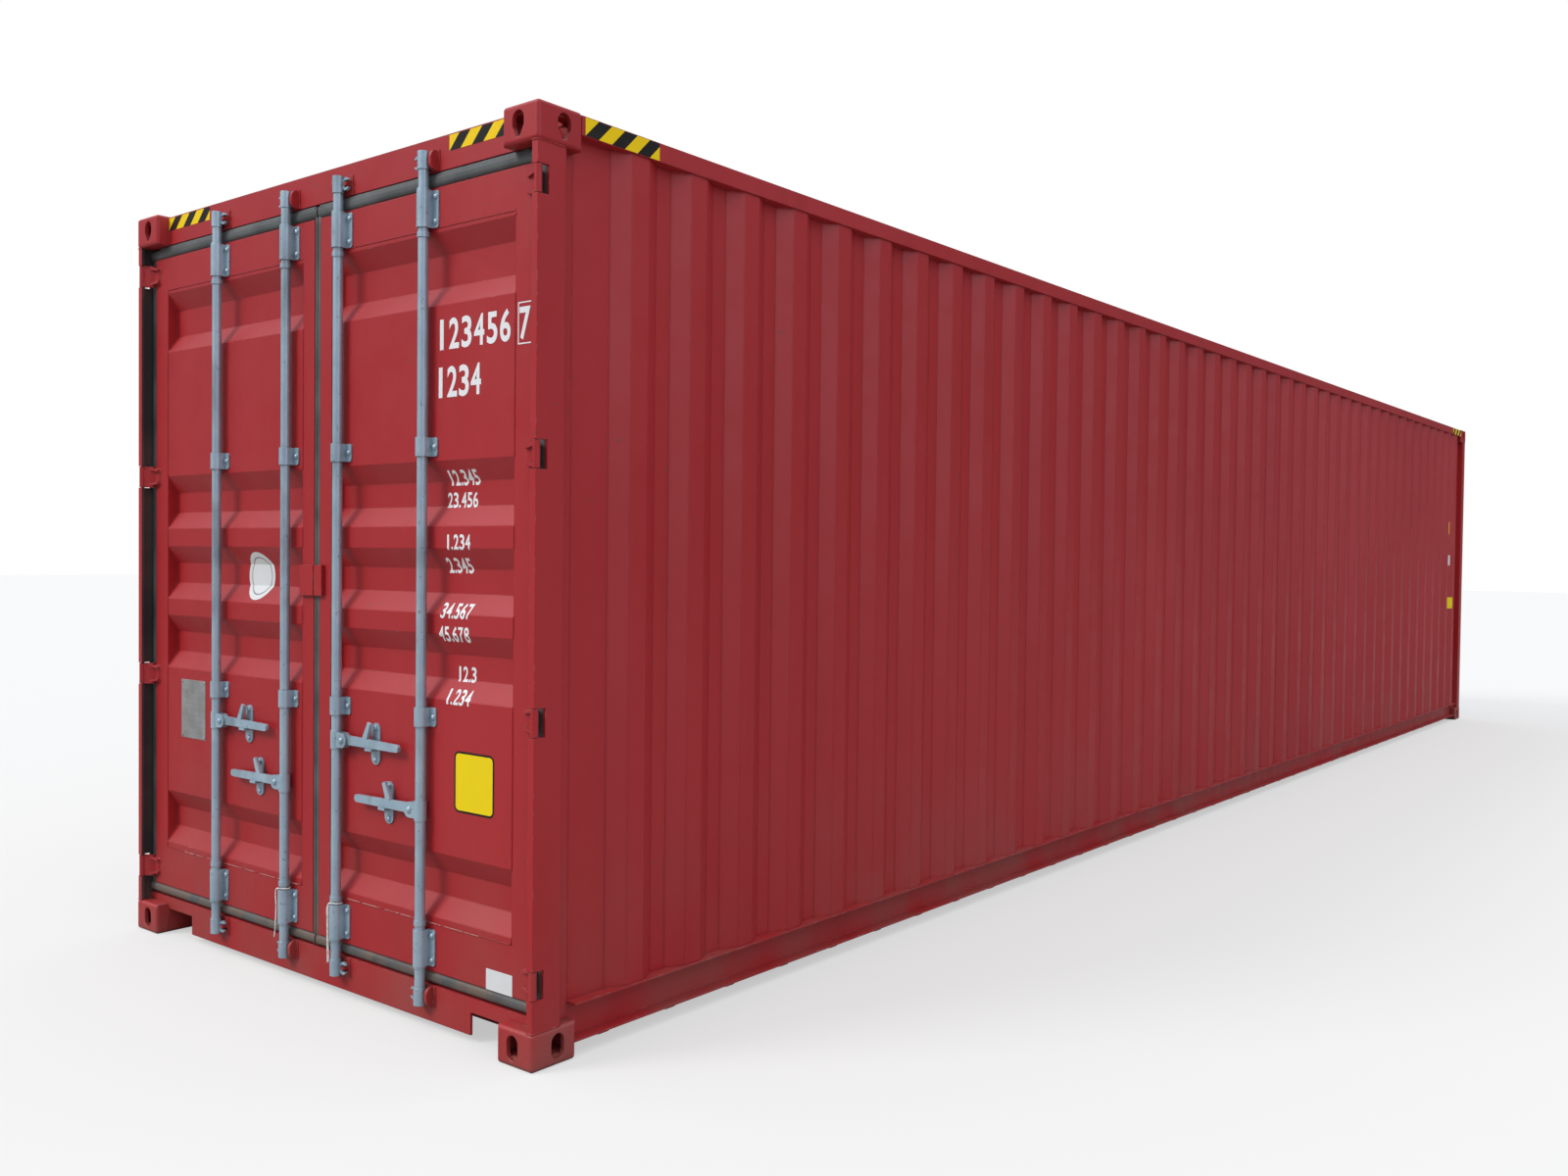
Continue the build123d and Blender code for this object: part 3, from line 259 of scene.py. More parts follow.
def container_paint(
    name, seed, streaks=0.35, grime=0.0, wear_and_highlight=0.10, soft_edge=0.004, dents=0.0, rust=0.0, inner=None,
    inner_colour=PALE_PRIMER,
):
    """Sprayed red paint: faded in patches, streaked by rain, dusty low down, pale at its edges from wear
    and a painted highlight.
    """
    material, tree, surface, place = begin_finish(name)
    fade = speckle(tree, place, 0.55, 0.35, 0.75, detail=3.0, seed=seed)
    colour = mixed(tree, fade, CONTAINER_RED, FADED_RED)
    runs = speckle(tree, place, 6.0, 0.50, 0.80, stretch=(1, 1, 0.05), detail=5.0, seed=seed)
    colour = mixed(tree, product(tree, runs, streaks), colour, DEEP_RED)
    mottle = speckle(tree, place, 22.0, 0.35, 0.80, seed=seed + 2)
    colour = mixed(tree, product(tree, mottle, 0.22), colour, FADED_RED)
    if grime:
        colour = low_grime(tree, place, colour, grime, seed)
    if rust:
        nook = shader(tree, "AmbientOcclusion", {"Distance": 0.07}, samples=3).outputs["AO"]
        deep = shader(tree, "MapRange", {0: nook, 1: 0.55, 2: 0.15}).outputs[0]
        colour = mixed(tree, product(tree, deep, rust), colour, RUST_BROWN)
    # edges turn pale pink in patches: wear with a painted highlight
    normal, pale_edge = edge_wear_and_highlight(tree, place, soft_edge, wear_and_highlight, seed)
    colour = mixed(tree, pale_edge, colour, WEAR_AND_HIGHLIGHT_PINK)
    specks = speckle(tree, place, 46.0, 0.735, 0.765, detail=2.0, seed=seed + 7)
    colour = mixed(tree, product(tree, specks, 0.7), colour, RUST_BROWN)
    # inner faces take another colour: pale primer on walls, roof and leaves, painted shade on the rear
    # posts
    if inner:
        facing = shader(tree, "TexCoord").outputs["Normal"]
        turned = shader(tree, "VectorMath", {0: facing, 1: inner}, operation="DOT_PRODUCT")
        within = shader(tree, "MapRange", {0: turned.outputs["Value"], 1: 0.05, 2: 0.10})
        scuffed = speckle(tree, place, 2.4, 0.40, 0.80, stretch=(0.3, 0.3, 1), seed=seed + 4)
        coat = mixed(tree, product(tree, scuffed, 0.5), inner_colour, ROAD_DUST)
        colour = mixed(tree, within.outputs[0], colour, coat)
    gloss = speckle(tree, place, 9.0, 0.2, 0.8, seed=seed + 5)
    rough = shader(tree, "MapRange", {0: gloss, 3: 0.36, 4: 0.50}).outputs[0]
    surface.inputs["Specular IOR Level"].default_value = 0.42
    peel = speckle(tree, place, 240.0, 0.2, 0.8, seed=seed)
    bump = shader(tree, "Bump", {"Height": peel, "Strength": 0.09, "Distance": 0.0008, "Normal": normal})
    if dents:
        hollow = speckle(tree, place, 1.7, 0.2, 0.8, detail=1.0, seed=seed + 9)
        pressed = {"Height": hollow, "Strength": 0.5, "Distance": dents, "Normal": bump.outputs[0]}
        bump = shader(tree, "Bump", pressed)
    end_finish(tree, surface, colour, rough, bump)
    return material


def finish(material, *names):
    """Gives construction pieces one finish."""
    for name in names:
        nodes[name].data.materials.clear()
        nodes[name].data.materials.append(material)


finish(
    container_paint("casting_paint", 1.0, grime=0.5, wear_and_highlight=0.15, soft_edge=0.005, rust=0.9),
    "bottom_corner_castings", "top_corner_castings",
)


# Posts, top rails, headers: folded steel sections, welded between the castings with a bead that
# shows round the foot and the head of each post and at the ends of the header and the sill. The
# inner faces of the rear posts are painted near black: painted shade of the channel by the leaves.
HALF_LENGTH = cad_box[1].x
HALF_WIDTH = cad_box[1].y
DOOR_FACE = -HALF_LENGTH + 0.050
CASTING_TOP = 0.118
CASTING_INSIDE = HALF_WIDTH - 0.162
POST_FACE = 0.004
REAR_FLANGE = 0.030
REAR_SIDE = 0.115
FRONT_LEG = 0.104
HEADER_Z = (2.781, 2.888)
SILL_Z = (0.028, 0.117)
FRAME_BEAD = 0.003
BEAD_STEP = 0.010
BEAD_SIDES = 6
BEAD_SWELL = (0.72, 1.12)
# near black: painted shade for the inner faces of the rear posts, in the channel by the leaves
CHANNEL_SHADE_BLACK = (0.040, 0.034, 0.033, 1)
SIDES = (("left", 1), ("right", -1))
draw = random.Random(11)


def skin(mesh, rings, smooth=True):
    """Joins each ring of points to the next one."""
    faces = []
    for near, far in zip(rings, rings[1:]):
        for corner in range(len(near)):
            after = (corner + 1) % len(near)
            face = mesh.faces.new((near[corner], near[after], far[after], far[corner]))
            face.smooth = smooth
            faces.append(face)
    return faces


def bead(mesh, line, radius, rest):
    """Lays one uneven bead along a line of points; rest is a direction that the line never takes."""
    spots = []
    for start, end in zip(line, line[1:]):
        count = max(1, round((end - start).length / BEAD_STEP))
        spots += [start.lerp(end, index / count) for index in range(count)]
    spots.append(line[-1])
    rings = []
    for index, spot in enumerate(spots):
        ahead = spots[min(index + 1, len(spots) - 1)] - spots[max(index - 1, 0)]
        ahead.normalize()
        side = (rest - ahead * rest.dot(ahead)).normalized()
        other = ahead.cross(side)
        size = radius * draw.uniform(*BEAD_SWELL)
        ring = []
        for corner in range(BEAD_SIDES):
            angle = math.tau * corner / BEAD_SIDES
            out = side * math.cos(angle) + other * math.sin(angle)
            ring.append(mesh.verts.new(spot + out * size))
        rings.append(ring)
    skin(mesh, rings)
    mesh.faces.new(reversed(rings[0]))
    mesh.faces.new(rings[-1])


def add_piece(name, mesh, materials, body):
    """Adds a piece that moves with a body, with the finishes it is given."""
    piece = add_mesh(name, mesh, materials)
    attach(piece, body)
    return piece


frame_paint = container_paint("frame_paint", 4.0, grime=0.35)
finish(
    frame_paint, "front_post_left", "front_post_right", "top_side_rail_left", "top_side_rail_right",
    "door_header", "front_header",
)
for side_name, hand in SIDES:
    # painted shade: the inner faces of each rear post are near black, dusted in patches
    post_paint = container_paint(
        f"rear_post_paint_{side_name}", 5.0 + hand, grime=0.35, inner=(0, -hand, 0), inner_colour=CHANNEL_SHADE_BLACK,
    )
    finish(post_paint, f"rear_post_{side_name}")
welds = bmesh.new()
for hand in (-1, 1):
    side = hand * (HALF_WIDTH - POST_FACE)
    rear = -HALF_LENGTH + POST_FACE
    front = HALF_LENGTH - POST_FACE
    for level in (CASTING_TOP, cad_box[1].z - CASTING_TOP):
        foot = [
            Vector((rear, hand * (HALF_WIDTH - REAR_FLANGE), level)), Vector((rear, side, level)),
            Vector((-HALF_LENGTH + REAR_SIDE, side, level)),
        ]
        bead(welds, foot, FRAME_BEAD, Vector((0, 0, 1)))
        foot = [
            Vector((front, hand * (HALF_WIDTH - FRONT_LEG), level)), Vector((front, side, level)),
            Vector((HALF_LENGTH - FRONT_LEG, side, level)),
        ]
        bead(welds, foot, FRAME_BEAD, Vector((0, 0, 1)))
    for low, high in (HEADER_Z, SILL_Z):
        ends = [Vector((DOOR_FACE, hand * CASTING_INSIDE, z)) for z in (low, high)]
        bead(welds, ends, FRAME_BEAD, Vector((1, 0, 0)))
add_piece("frame_welds", welds, [frame_paint], "box")


# Base: bottom rails, sills and cross members of rolled channel, and the tunnel for a gooseneck
# trailer. They take the stones and the spray of the road.
base_paint = container_paint("base_paint", 7.0, grime=0.45, wear_and_highlight=0.13)
finish(
    base_paint, "bottom_side_rail_left", "bottom_side_rail_right", "door_sill", "front_sill",
    "floor_cross_members", "gooseneck_tunnel",
)


# Floor: sheets of hardwood plywood, laid in two rows on the cross members and held by rows of
# countersunk screws.
SHEET_ROWS = 2
SHEETS_IN_ROW = 10
SHEET_GAP = 0.003
SHEET_CHAMFER = 0.0015
SCREW_RADIUS = 0.006
SCREW_TOP_RADIUS = 0.0048
SCREW_HEIGHT = 0.0008
SCREW_SINK = 0.0002
SCREW_INSET = 0.040
SCREW_SIDES = 10
SCREWS_ALONG = 5
SCREWS_ACROSS = 4
PLY_PALE = (0.400, 0.235, 0.120, 1)
PLY_DARK = (0.235, 0.120, 0.058, 1)
TRODDEN = (0.130, 0.085, 0.058, 1)
SCREW_STEEL = (0.30, 0.29, 0.28, 1)
METAL_STAIN = (0.20, 0.19, 0.17, 1)


def plywood():
    material, tree, surface, place = begin_finish("plywood")
    board = shader(tree, "NewGeometry").outputs["Random Per Island"]
    grain = speckle(tree, place, 6.0, 0.30, 0.70, stretch=(0.12, 4, 1), detail=8.0)
    colour = mixed(tree, grain, PLY_PALE, PLY_DARK)
    colour = mixed(tree, product(tree, board, 0.5), colour, PLY_DARK)
    worn = speckle(tree, place, 1.4, 0.45, 0.75, stretch=(0.5, 1, 1), seed=2.0)
    colour = mixed(tree, product(tree, worn, 0.7), colour, TRODDEN)
    rough = shader(tree, "MapRange", {0: worn, 3: 0.55, 4: 0.75}).outputs[0]
    bump = shader(tree, "Bump", {"Height": grain, "Strength": 0.3, "Distance": 0.001})
    end_finish(tree, surface, colour, rough, bump)
    return material


def brushed_metal(name, colour):
    material, tree, surface, place = begin_finish(name)
    stain = speckle(tree, place, 14.0, 0.35, 0.75, seed=4.0)
    stained = mixed(tree, product(tree, stain, 0.6), colour, METAL_STAIN)
    surface.inputs["Metallic"].default_value = 0.6
    rough = shader(tree, "MapRange", {0: stain, 3: 0.42, 4: 0.62}).outputs[0]
    scratch = speckle(tree, place, 300.0, 0.3, 0.7, stretch=(1, 0.1, 1))
    bump = shader(tree, "Bump", {"Height": scratch, "Strength": 0.1, "Distance": 0.0003})
    end_finish(tree, surface, stained, rough, bump)
    return material


def block(mesh, centre, size):
    """A box about its centre."""
    for vertex in bmesh.ops.create_cube(mesh, size=1.0)["verts"]:
        vertex.co = centre + Vector([part * length for part, length in zip(vertex.co, size)])


floor_low, floor_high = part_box("plywood_floor")
sheet_x = (floor_high.x - floor_low.x) / SHEETS_IN_ROW
sheet_y = (floor_high.y - floor_low.y) / SHEET_ROWS
boards = bmesh.new()
screws = bmesh.new()
for column in range(SHEETS_IN_ROW):
    for row in range(SHEET_ROWS):
        corner = Vector((floor_low.x + column * sheet_x, floor_low.y + row * sheet_y, floor_low.z))
        size = Vector((sheet_x - SHEET_GAP, sheet_y - SHEET_GAP, floor_high.z - floor_low.z))
        block(boards, corner + size / 2, size)
        for along in range(SCREWS_ALONG):
            for aside in range(SCREWS_ACROSS):
                x = corner.x + SCREW_INSET + along * (size.x - 2 * SCREW_INSET) / (SCREWS_ALONG - 1)
                y = corner.y + SCREW_INSET + aside * (size.y - 2 * SCREW_INSET) / (SCREWS_ACROSS - 1)
                bmesh.ops.create_cone(
                    screws, cap_ends=True, segments=SCREW_SIDES, radius1=SCREW_RADIUS,
                    radius2=SCREW_TOP_RADIUS, depth=SCREW_HEIGHT,
                    matrix=Matrix.Translation((x, y, floor_high.z - SCREW_SINK)),
                )
bmesh.ops.bevel(boards, geom=boards.edges[:], offset=SHEET_CHAMFER, segments=1, affect="EDGES")
floor_boards = add_piece("plywood_boards", boards, [plywood()], "box")
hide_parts("plywood_floor")
screw_steel = brushed_metal("screw_steel", SCREW_STEEL)
add_piece("floor_screws", screws, [screw_steel], "box")


# Walls: 2 mm steel sheet pressed into trapezoid waves, welded all along its foot and its head to
# the rails. The cargo side has a pale primer.
CREST_Y = HALF_WIDTH - 0.010
TROUGH_Y = HALF_WIDTH - 0.046
WALL_Z = (0.168, 2.830)
WALL_BEAD = 0.0026
NEAR_ENOUGH = 0.0005


def wave_line(name, level):
    """Corners of a side wall's outer face along its foot or head, in order."""
    corners = []
    for vertex in nodes[name].data.vertices:
        outside = min(abs(abs(vertex.co.y) - CREST_Y), abs(abs(vertex.co.y) - TROUGH_Y))
        if outside < NEAR_ENOUGH and abs(vertex.co.z - level) < NEAR_ENOUGH:
            corners.append(vertex.co.copy())
    return sorted(corners, key=lambda corner: corner.x)


for side_name, hand in SIDES:
    wall_paint = container_paint(
        f"wall_paint_{side_name}", 11.0 + hand, grime=0.30, wear_and_highlight=-0.2, soft_edge=0.012, dents=0.004,
        inner=(0, -hand, 0),
    )
    finish(wall_paint, f"side_wall_{side_name}")
    welds = bmesh.new()
    for level in WALL_Z:
        bead(welds, wave_line(f"side_wall_{side_name}", level), WALL_BEAD, Vector((0, 0, 1)))
    add_piece(f"wall_welds_{side_name}", welds, [wall_paint], "box")
finish(
    container_paint("front_wall_paint", 15.0, grime=0.3, soft_edge=0.012, dents=0.004, inner=(-1, 0, 0)),
    "front_wall",
)


# Roof: pressed steel sheets with shallow cross waves. Standing water fades them, and their
# underside has the primer of the walls.
finish(
    container_paint("roof_paint", 19.0, streaks=0.1, soft_edge=0.010, dents=0.006, inner=(0, 0, -1)), "roof"
)


# Door leaves: a frame of square tube round a pressed sheet, joined by a weld that runs in and out
# of the recesses. Pale beads in broken runs along the lower seam are a painted highlight of that seam.
RECESSES = ((0.371, 0.582), (1.082, 1.293), (1.359, 1.570), (1.641, 1.852), (2.350, 2.585))
RECESS_SLOPE = 0.066
RECESS_DEPTH = 0.038
PANEL_Y = (0.090, 1.064)
PANEL_Z = (0.350, 2.600)
LEAF_BEAD = 0.0026
SEAM_LINE_BEAD = 0.0020
SEAM_LINE_INSET = 0.02
SEAM_LINE_STOP = 0.16
SEAM_LINE_RUN = (0.05, 0.14)
SEAM_LINE_GAP = (0.004, 0.05)
SEAM_LINE_OUT = 0.0008
SEAM_LINE_DROP = 0.0012
# pale pink: painted highlight along the lower seam of each leaf
SEAM_HIGHLIGHT_PALE = (0.520, 0.270, 0.220, 1)


def panel_line(y):
    """The edge of a leaf's sheet from its foot to its head, in and out of the recesses."""
    line = [Vector((DOOR_FACE, y, PANEL_Z[0]))]
    for low, high in RECESSES:
        line.append(Vector((DOOR_FACE, y, low)))
        line.append(Vector((DOOR_FACE + RECESS_DEPTH, y, low + RECESS_SLOPE)))
        line.append(Vector((DOOR_FACE + RECESS_DEPTH, y, high - RECESS_SLOPE)))
        line.append(Vector((DOOR_FACE, y, high)))
    line.append(Vector((DOOR_FACE, y, PANEL_Z[1])))
    return line


# painted highlight: the finish of the pale beads along the lower seam
def seam_highlight_paint():
    material, tree, surface, place = begin_finish("seam_highlight_paint")
    pale_patches = speckle(tree, place, 60.0, 0.35, 0.70)
    colour = mixed(tree, pale_patches, SEAM_HIGHLIGHT_PALE, WEAR_AND_HIGHLIGHT_PINK)
    bump = shader(tree, "Bump", {"Height": pale_patches, "Strength": 0.4, "Distance": 0.0006})
    end_finish(tree, surface, colour, 0.8, bump)
    return material


leaf_paint = container_paint(
    "leaf_paint", 23.0, streaks=0.25, grime=0.30, wear_and_highlight=0.02, soft_edge=0.006, dents=0.002, inner=(1, 0, 0)
)
pale_seam_material = seam_highlight_paint()
for side_name, hand in SIDES:
    finish(leaf_paint, f"door_frame_{side_name}", f"door_panel_{side_name}")
    welds = bmesh.new()
    for y in PANEL_Y:
        bead(welds, panel_line(hand * y), LEAF_BEAD, Vector((0, 1, 0)))
    for z in PANEL_Z:
        seam = [Vector((DOOR_FACE, hand * y, z)) for y in PANEL_Y]
        bead(welds, seam, LEAF_BEAD, Vector((0, 0, 1)))
    add_piece(f"leaf_welds_{side_name}", welds, [leaf_paint], f"{side_name}_door")
    # pale beads in broken runs along the lower seam: a painted highlight
    strip = bmesh.new()
    x = DOOR_FACE - SEAM_LINE_OUT
    y = PANEL_Y[0] + SEAM_LINE_INSET
    z = PANEL_Z[0] - SEAM_LINE_DROP
    while y < PANEL_Y[1] - SEAM_LINE_STOP:
        reach = y + draw.uniform(*SEAM_LINE_RUN)
        run = [Vector((x, hand * end, z)) for end in (y, reach)]
        bead(strip, run, SEAM_LINE_BEAD, Vector((0, 0, 1)))
        y = reach + draw.uniform(*SEAM_LINE_GAP)
    add_piece(f"pale_seam_beads_{side_name}", strip, [pale_seam_material], f"{side_name}_door")


# Gasket: extruded black rubber round each leaf, grey with age, its lower lip brown with dried mud.
# Soft lips at the centre and along the head of each leaf lie flush with its face.
RUBBER_DARK = (0.060, 0.064, 0.062, 1)
RUBBER_GREY = (0.120, 0.124, 0.118, 1)
DRIED_MUD = (0.150, 0.105, 0.080, 1)
CENTRE_LIPS = (("left", 1, 0.0050, 0.0176), ("right", -1, -0.0176, 0.0040))
CENTRE_OUTLINE = (
    (0.010, 0.0), (0.004, 0.0), (0.0014, 0.2), (0.0007, 0.5), (0.0014, 0.8), (0.004, 1.0), (0.010, 1.0),
)
CENTRE_ENDS = (0.152, 2.772)
TOP_OUTLINE = (
    (0.006, 2.752), (-0.002, 2.752), (-0.0022, 2.760), (-0.0012, 2.769), (0.001, 2.7765), (0.006, 2.7765),
)
TOP_ENDS = (0.012, 1.128)
LIP_SWAY = 0.0006
LIP_STEPS = 40


def gasket_rubber():
    material, tree, surface, place = begin_finish("gasket_rubber")
    aged = speckle(tree, place, 7.0, 0.30, 0.75)
    colour = mixed(tree, aged, RUBBER_DARK, RUBBER_GREY)
    height = shader(tree, "SeparateXYZ", {0: place}).outputs[2]
    low = shader(tree, "MapRange", {0: height, 1: 0.45, 2: 0.19}).outputs[0]
    caked = speckle(tree, place, 11.0, 0.32, 0.62, seed=3.0)
    colour = mixed(tree, product(tree, low, caked), colour, DRIED_MUD)
    rough = shader(tree, "MapRange", {0: aged, 3: 0.55, 4: 0.75}).outputs[0]
    pores = speckle(tree, place, 180.0, 0.3, 0.7)
    bump = shader(tree, "Bump", {"Height": pores, "Strength": 0.2, "Distance": 0.0006})
    end_finish(tree, surface, colour, rough, bump)
    return material


def rubber_lip(mesh, outline, ends, upright):
    """A soft lip, a little uneven: one outline carried along an edge of a leaf."""
    rows = []
    for step in range(LIP_STEPS + 1):
        along = ends[0] + (ends[1] - ends[0]) * step / LIP_STEPS
        row = []
        for depth, across in outline:
            x = DOOR_FACE + depth + draw.uniform(0.0, LIP_SWAY)
            row.append(mesh.verts.new((x, across, along) if upright else (x, along, across)))
        rows.append(row)
    skin(mesh, rows)
    mesh.faces.new(rows[0])
    mesh.faces.new(reversed(rows[-1]))


rubber = gasket_rubber()
finish(rubber, "door_gasket_left", "door_gasket_right")
for side_name, hand, low, high in CENTRE_LIPS:
    lips = bmesh.new()
    outline = [(x, low + (high - low) * across) for x, across in CENTRE_OUTLINE]
    rubber_lip(lips, outline, CENTRE_ENDS, True)
    rubber_lip(lips, TOP_OUTLINE, (hand * TOP_ENDS[0], hand * TOP_ENDS[1]), False)
    bmesh.ops.recalc_face_normals(lips, faces=lips.faces[:])
    add_piece(f"gasket_lips_{side_name}", lips, [rubber], f"{side_name}_door")


# Hinges: forged blades with a rimmed lap that is welded to the stile, turning on pins in the
# posts. Keepers and the plate over the centre gap are welded steel; all are painted with the box.
HINGE_HEIGHTS = (0.260, 1.050, 1.852, 2.665)
LAP_NEAR = HALF_WIDTH - 0.059
LAP_TIP = HALF_WIDTH - 0.092
LAP_HALF = (0.0346, 0.029)
NECK_OUTLINE = (
    (0.0110, 0.0200), (0.0285, 0.0430), (0.0370, 0.0560), (0.0480, 0.0560), (0.0480, 0.0505),
    (0.0240, 0.0200),
)
SHOULDER_LOW = 0.030
SHOULDER_HIGH = 0.0425
SHOULDER_TAPER = 0.0445
SHOULDER_SLOPE = 0.169


def neck_shoulder(mesh, hand, height, top):
    """The forged shoulder above or below a blade's neck, as high as the knuckle."""
    inner = [max(SHOULDER_LOW, SHOULDER_TAPER - inset * SHOULDER_SLOPE) for _, inset in NECK_OUTLINE]
    outer = [SHOULDER_HIGH] * len(NECK_OUTLINE)
    loops = []
    for rises in (inner, outer):
        loop = []
        for (depth, inset), rise in zip(NECK_OUTLINE, rises):
            place = (depth - HALF_LENGTH, hand * (HALF_WIDTH - inset), height + top * rise)
            loop.append(mesh.verts.new(place))
        loops.append(loop)
    skin(mesh, loops, smooth=False)
    mesh.faces.new(loops[1])
    mesh.faces.new(reversed(loops[0]))


fitting_paint = container_paint("fitting_paint", 29.0, grime=0.25, wear_and_highlight=0.19, soft_edge=0.003, rust=0.5)
# the hinge welds are pale along their edges: wear, and a painted highlight on the raised beads
weld_wear_and_highlight = container_paint("weld_wear_and_highlight", 30.0, wear_and_highlight=0.50, soft_edge=0.005)
finish(
    fitting_paint, "hinge_pins_left", "hinge_pins_right", "hinge_blades_left", "hinge_blades_right",
    "cam_keepers", "lock_plate_left", "lock_plate_right",
)
for side_name, hand in SIDES:
    necks = bmesh.new()
    for height in HINGE_HEIGHTS:
        for top in (-1, 1):
            neck_shoulder(necks, hand, height, top)
    bmesh.ops.recalc_face_normals(necks, faces=necks.faces[:])
    add_piece(f"hinge_shoulders_{side_name}", necks, [fitting_paint], f"{side_name}_door")
    welds = bmesh.new()
    for height in HINGE_HEIGHTS:
        lap = [
            Vector((DOOR_FACE, hand * LAP_NEAR, height + LAP_HALF[0])),
            Vector((DOOR_FACE, hand * LAP_TIP, height + LAP_HALF[1])),
            Vector((DOOR_FACE, hand * LAP_TIP, height - LAP_HALF[1])),
            Vector((DOOR_FACE, hand * LAP_NEAR, height - LAP_HALF[0])),
        ]
        bead(welds, lap, LEAF_BEAD, Vector((1, 0, 0)))
    add_piece(f"hinge_welds_{side_name}", welds, [weld_wear_and_highlight], f"{side_name}_door")


# Lock gear: bars, straps, catches and handles of hot-dip galvanised steel, dull blue grey. Round
# headed bolts hold the straps and catches to the leaves, and a rivet holds each handle.
BARS = {"1": (0.640, -1, 0.905), "2": (0.163, 1, 0.715), "3": (-0.163, -1, 0.905), "4": (-0.640, 1, 0.715)}
STRAP_FACE = DOOR_FACE - 0.005
STRAP_BOLT_Y = 0.0375
LONG_STRAP_BOLTS = (0.228, 0.308, 2.621, 2.701)
SHORT_STRAP_BOLTS = (1.022, 1.897)
CATCH_REACH = 0.200
CATCH_BOLT_Z = 0.055
RIVET_REACH = 0.046
EAR_FACE = -HALF_LENGTH + 0.0121
BOLT_RADIUS = 0.0085
RIVET_RADIUS = 0.0102
BOLT_HEIGHT = 0.0055
WASHER_RADIUS = 0.0115
WASHER_HEIGHT = 0.0015
HEAD_SIDES = 18
HEAD_RINGS = 5
ZINC_PALE = (0.470, 0.602, 0.685, 1)
ZINC_DULL = (0.376, 0.502, 0.588, 1)
# dark grey for stains and nicks, and for the painted shade in nooks
ZINC_STAIN_AND_SHADE = (0.150, 0.165, 0.170, 1)


def galvanised(name, seed):
    material, tree, surface, place = begin_finish(name)
    cells = shader(tree, "TexVoronoi", {"Vector": place, "Scale": 140.0})
    spangle = shader(tree, "SeparateColor", {0: cells.outputs["Color"]}).outputs[0]
    cloud = speckle(tree, place, 9.0, 0.30, 0.70, seed=seed)
    colour = mixed(tree, cloud, ZINC_PALE, ZINC_DULL)
    colour = mixed(tree, product(tree, spangle, 0.18), colour, ZINC_DULL)
    stain = speckle(tree, place, 9.0, 0.52, 0.80, stretch=(1, 1, 0.3), seed=seed + 1)
    colour = mixed(tree, product(tree, stain, 0.7), colour, ZINC_STAIN_AND_SHADE)
    # painted shade: the zinc turns dark grey in the nooks that the AO node finds
    nook = shader(tree, "AmbientOcclusion", {"Distance": 0.03}, samples=2).outputs["AO"]
    deep = shader(tree, "MapRange", {0: nook, 1: 0.70, 2: 0.20}).outputs[0]
    colour = mixed(tree, product(tree, deep, 0.75), colour, ZINC_STAIN_AND_SHADE)
    nicks = speckle(tree, place, 70.0, 0.66, 0.72, detail=2.0, seed=seed + 6)
    colour = mixed(tree, product(tree, nicks, 0.6), colour, ZINC_STAIN_AND_SHADE)
    surface.inputs["Metallic"].default_value = 0.45
    rough = shader(tree, "MapRange", {0: spangle, 3: 0.30, 4: 0.42}).outputs[0]
    rounded = shader(tree, "Bevel", {0: 0.0022}, samples=2)
    coat = speckle(tree, place, 120.0, 0.3, 0.7, seed=seed)
    dimple = {"Height": coat, "Strength": 0.12, "Distance": 0.0006, "Normal": rounded.outputs[0]}
    end_finish(tree, surface, colour, rough, shader(tree, "Bump", dimple))
    return material


def round_head(mesh, seat, radius, height):
    """A domed head on its washer, standing out of a seat that faces the door end."""
    washer = WASHER_RADIUS * radius / BOLT_RADIUS
    outline = [(washer, 0.0), (washer, WASHER_HEIGHT), (radius, WASHER_HEIGHT)]
    for ring in range(1, HEAD_RINGS):
        angle = math.pi / 2 * ring / HEAD_RINGS
        outline.append((radius * math.cos(angle), WASHER_HEIGHT + height * math.sin(angle)))
    rings = []
    for across, out in outline:
        ring = []
        for corner in range(HEAD_SIDES):
            angle = math.tau * corner / HEAD_SIDES
            offset = Vector((-out, -across * math.cos(angle), across * math.sin(angle)))
            ring.append(mesh.verts.new(seat + offset))
        rings.append(ring)
    top = mesh.verts.new(seat - Vector((WASHER_HEIGHT + height, 0, 0)))
    skin(mesh, rings, smooth=False)
    for corner in range(HEAD_SIDES):
        mesh.faces.new((rings[-1][corner], rings[-1][(corner + 1) % HEAD_SIDES], top))
    mesh.faces.new(reversed(rings[0]))


zinc = galvanised("galvanised_gear", 2.0)
finish(
    zinc, *[f"lock_bar_{bar}" for bar in BARS], *[f"handle_{bar}" for bar in BARS],
    "bar_brackets_left", "bar_brackets_right", "handle_cradles_left", "handle_cradles_right",
)
for side_name, bars in (("left", "12"), ("right", "34")):
    heads = bmesh.new()
    for bar in bars:
        y, hand, height = BARS[bar]
        for z in LONG_STRAP_BOLTS + SHORT_STRAP_BOLTS:
            for aside in (-STRAP_BOLT_Y, STRAP_BOLT_Y):
                round_head(heads, Vector((STRAP_FACE, y + aside, z)), BOLT_RADIUS, BOLT_HEIGHT)
        for rise in (-CATCH_BOLT_Z, CATCH_BOLT_Z):
            seat = Vector((STRAP_FACE, y + hand * CATCH_REACH, height + rise))
            round_head(heads, seat, BOLT_RADIUS, BOLT_HEIGHT)
    add_piece(f"bolt_heads_{side_name}", heads, [zinc], f"{side_name}_door")
for bar, (y, hand, height) in BARS.items():
    rivet = bmesh.new()
    round_head(rivet, Vector((EAR_FACE, y + hand * RIVET_REACH, height)), RIVET_RADIUS, BOLT_HEIGHT)
    add_piece(f"handle_rivet_{bar}", rivet, [zinc], f"lock_bar_{bar}")


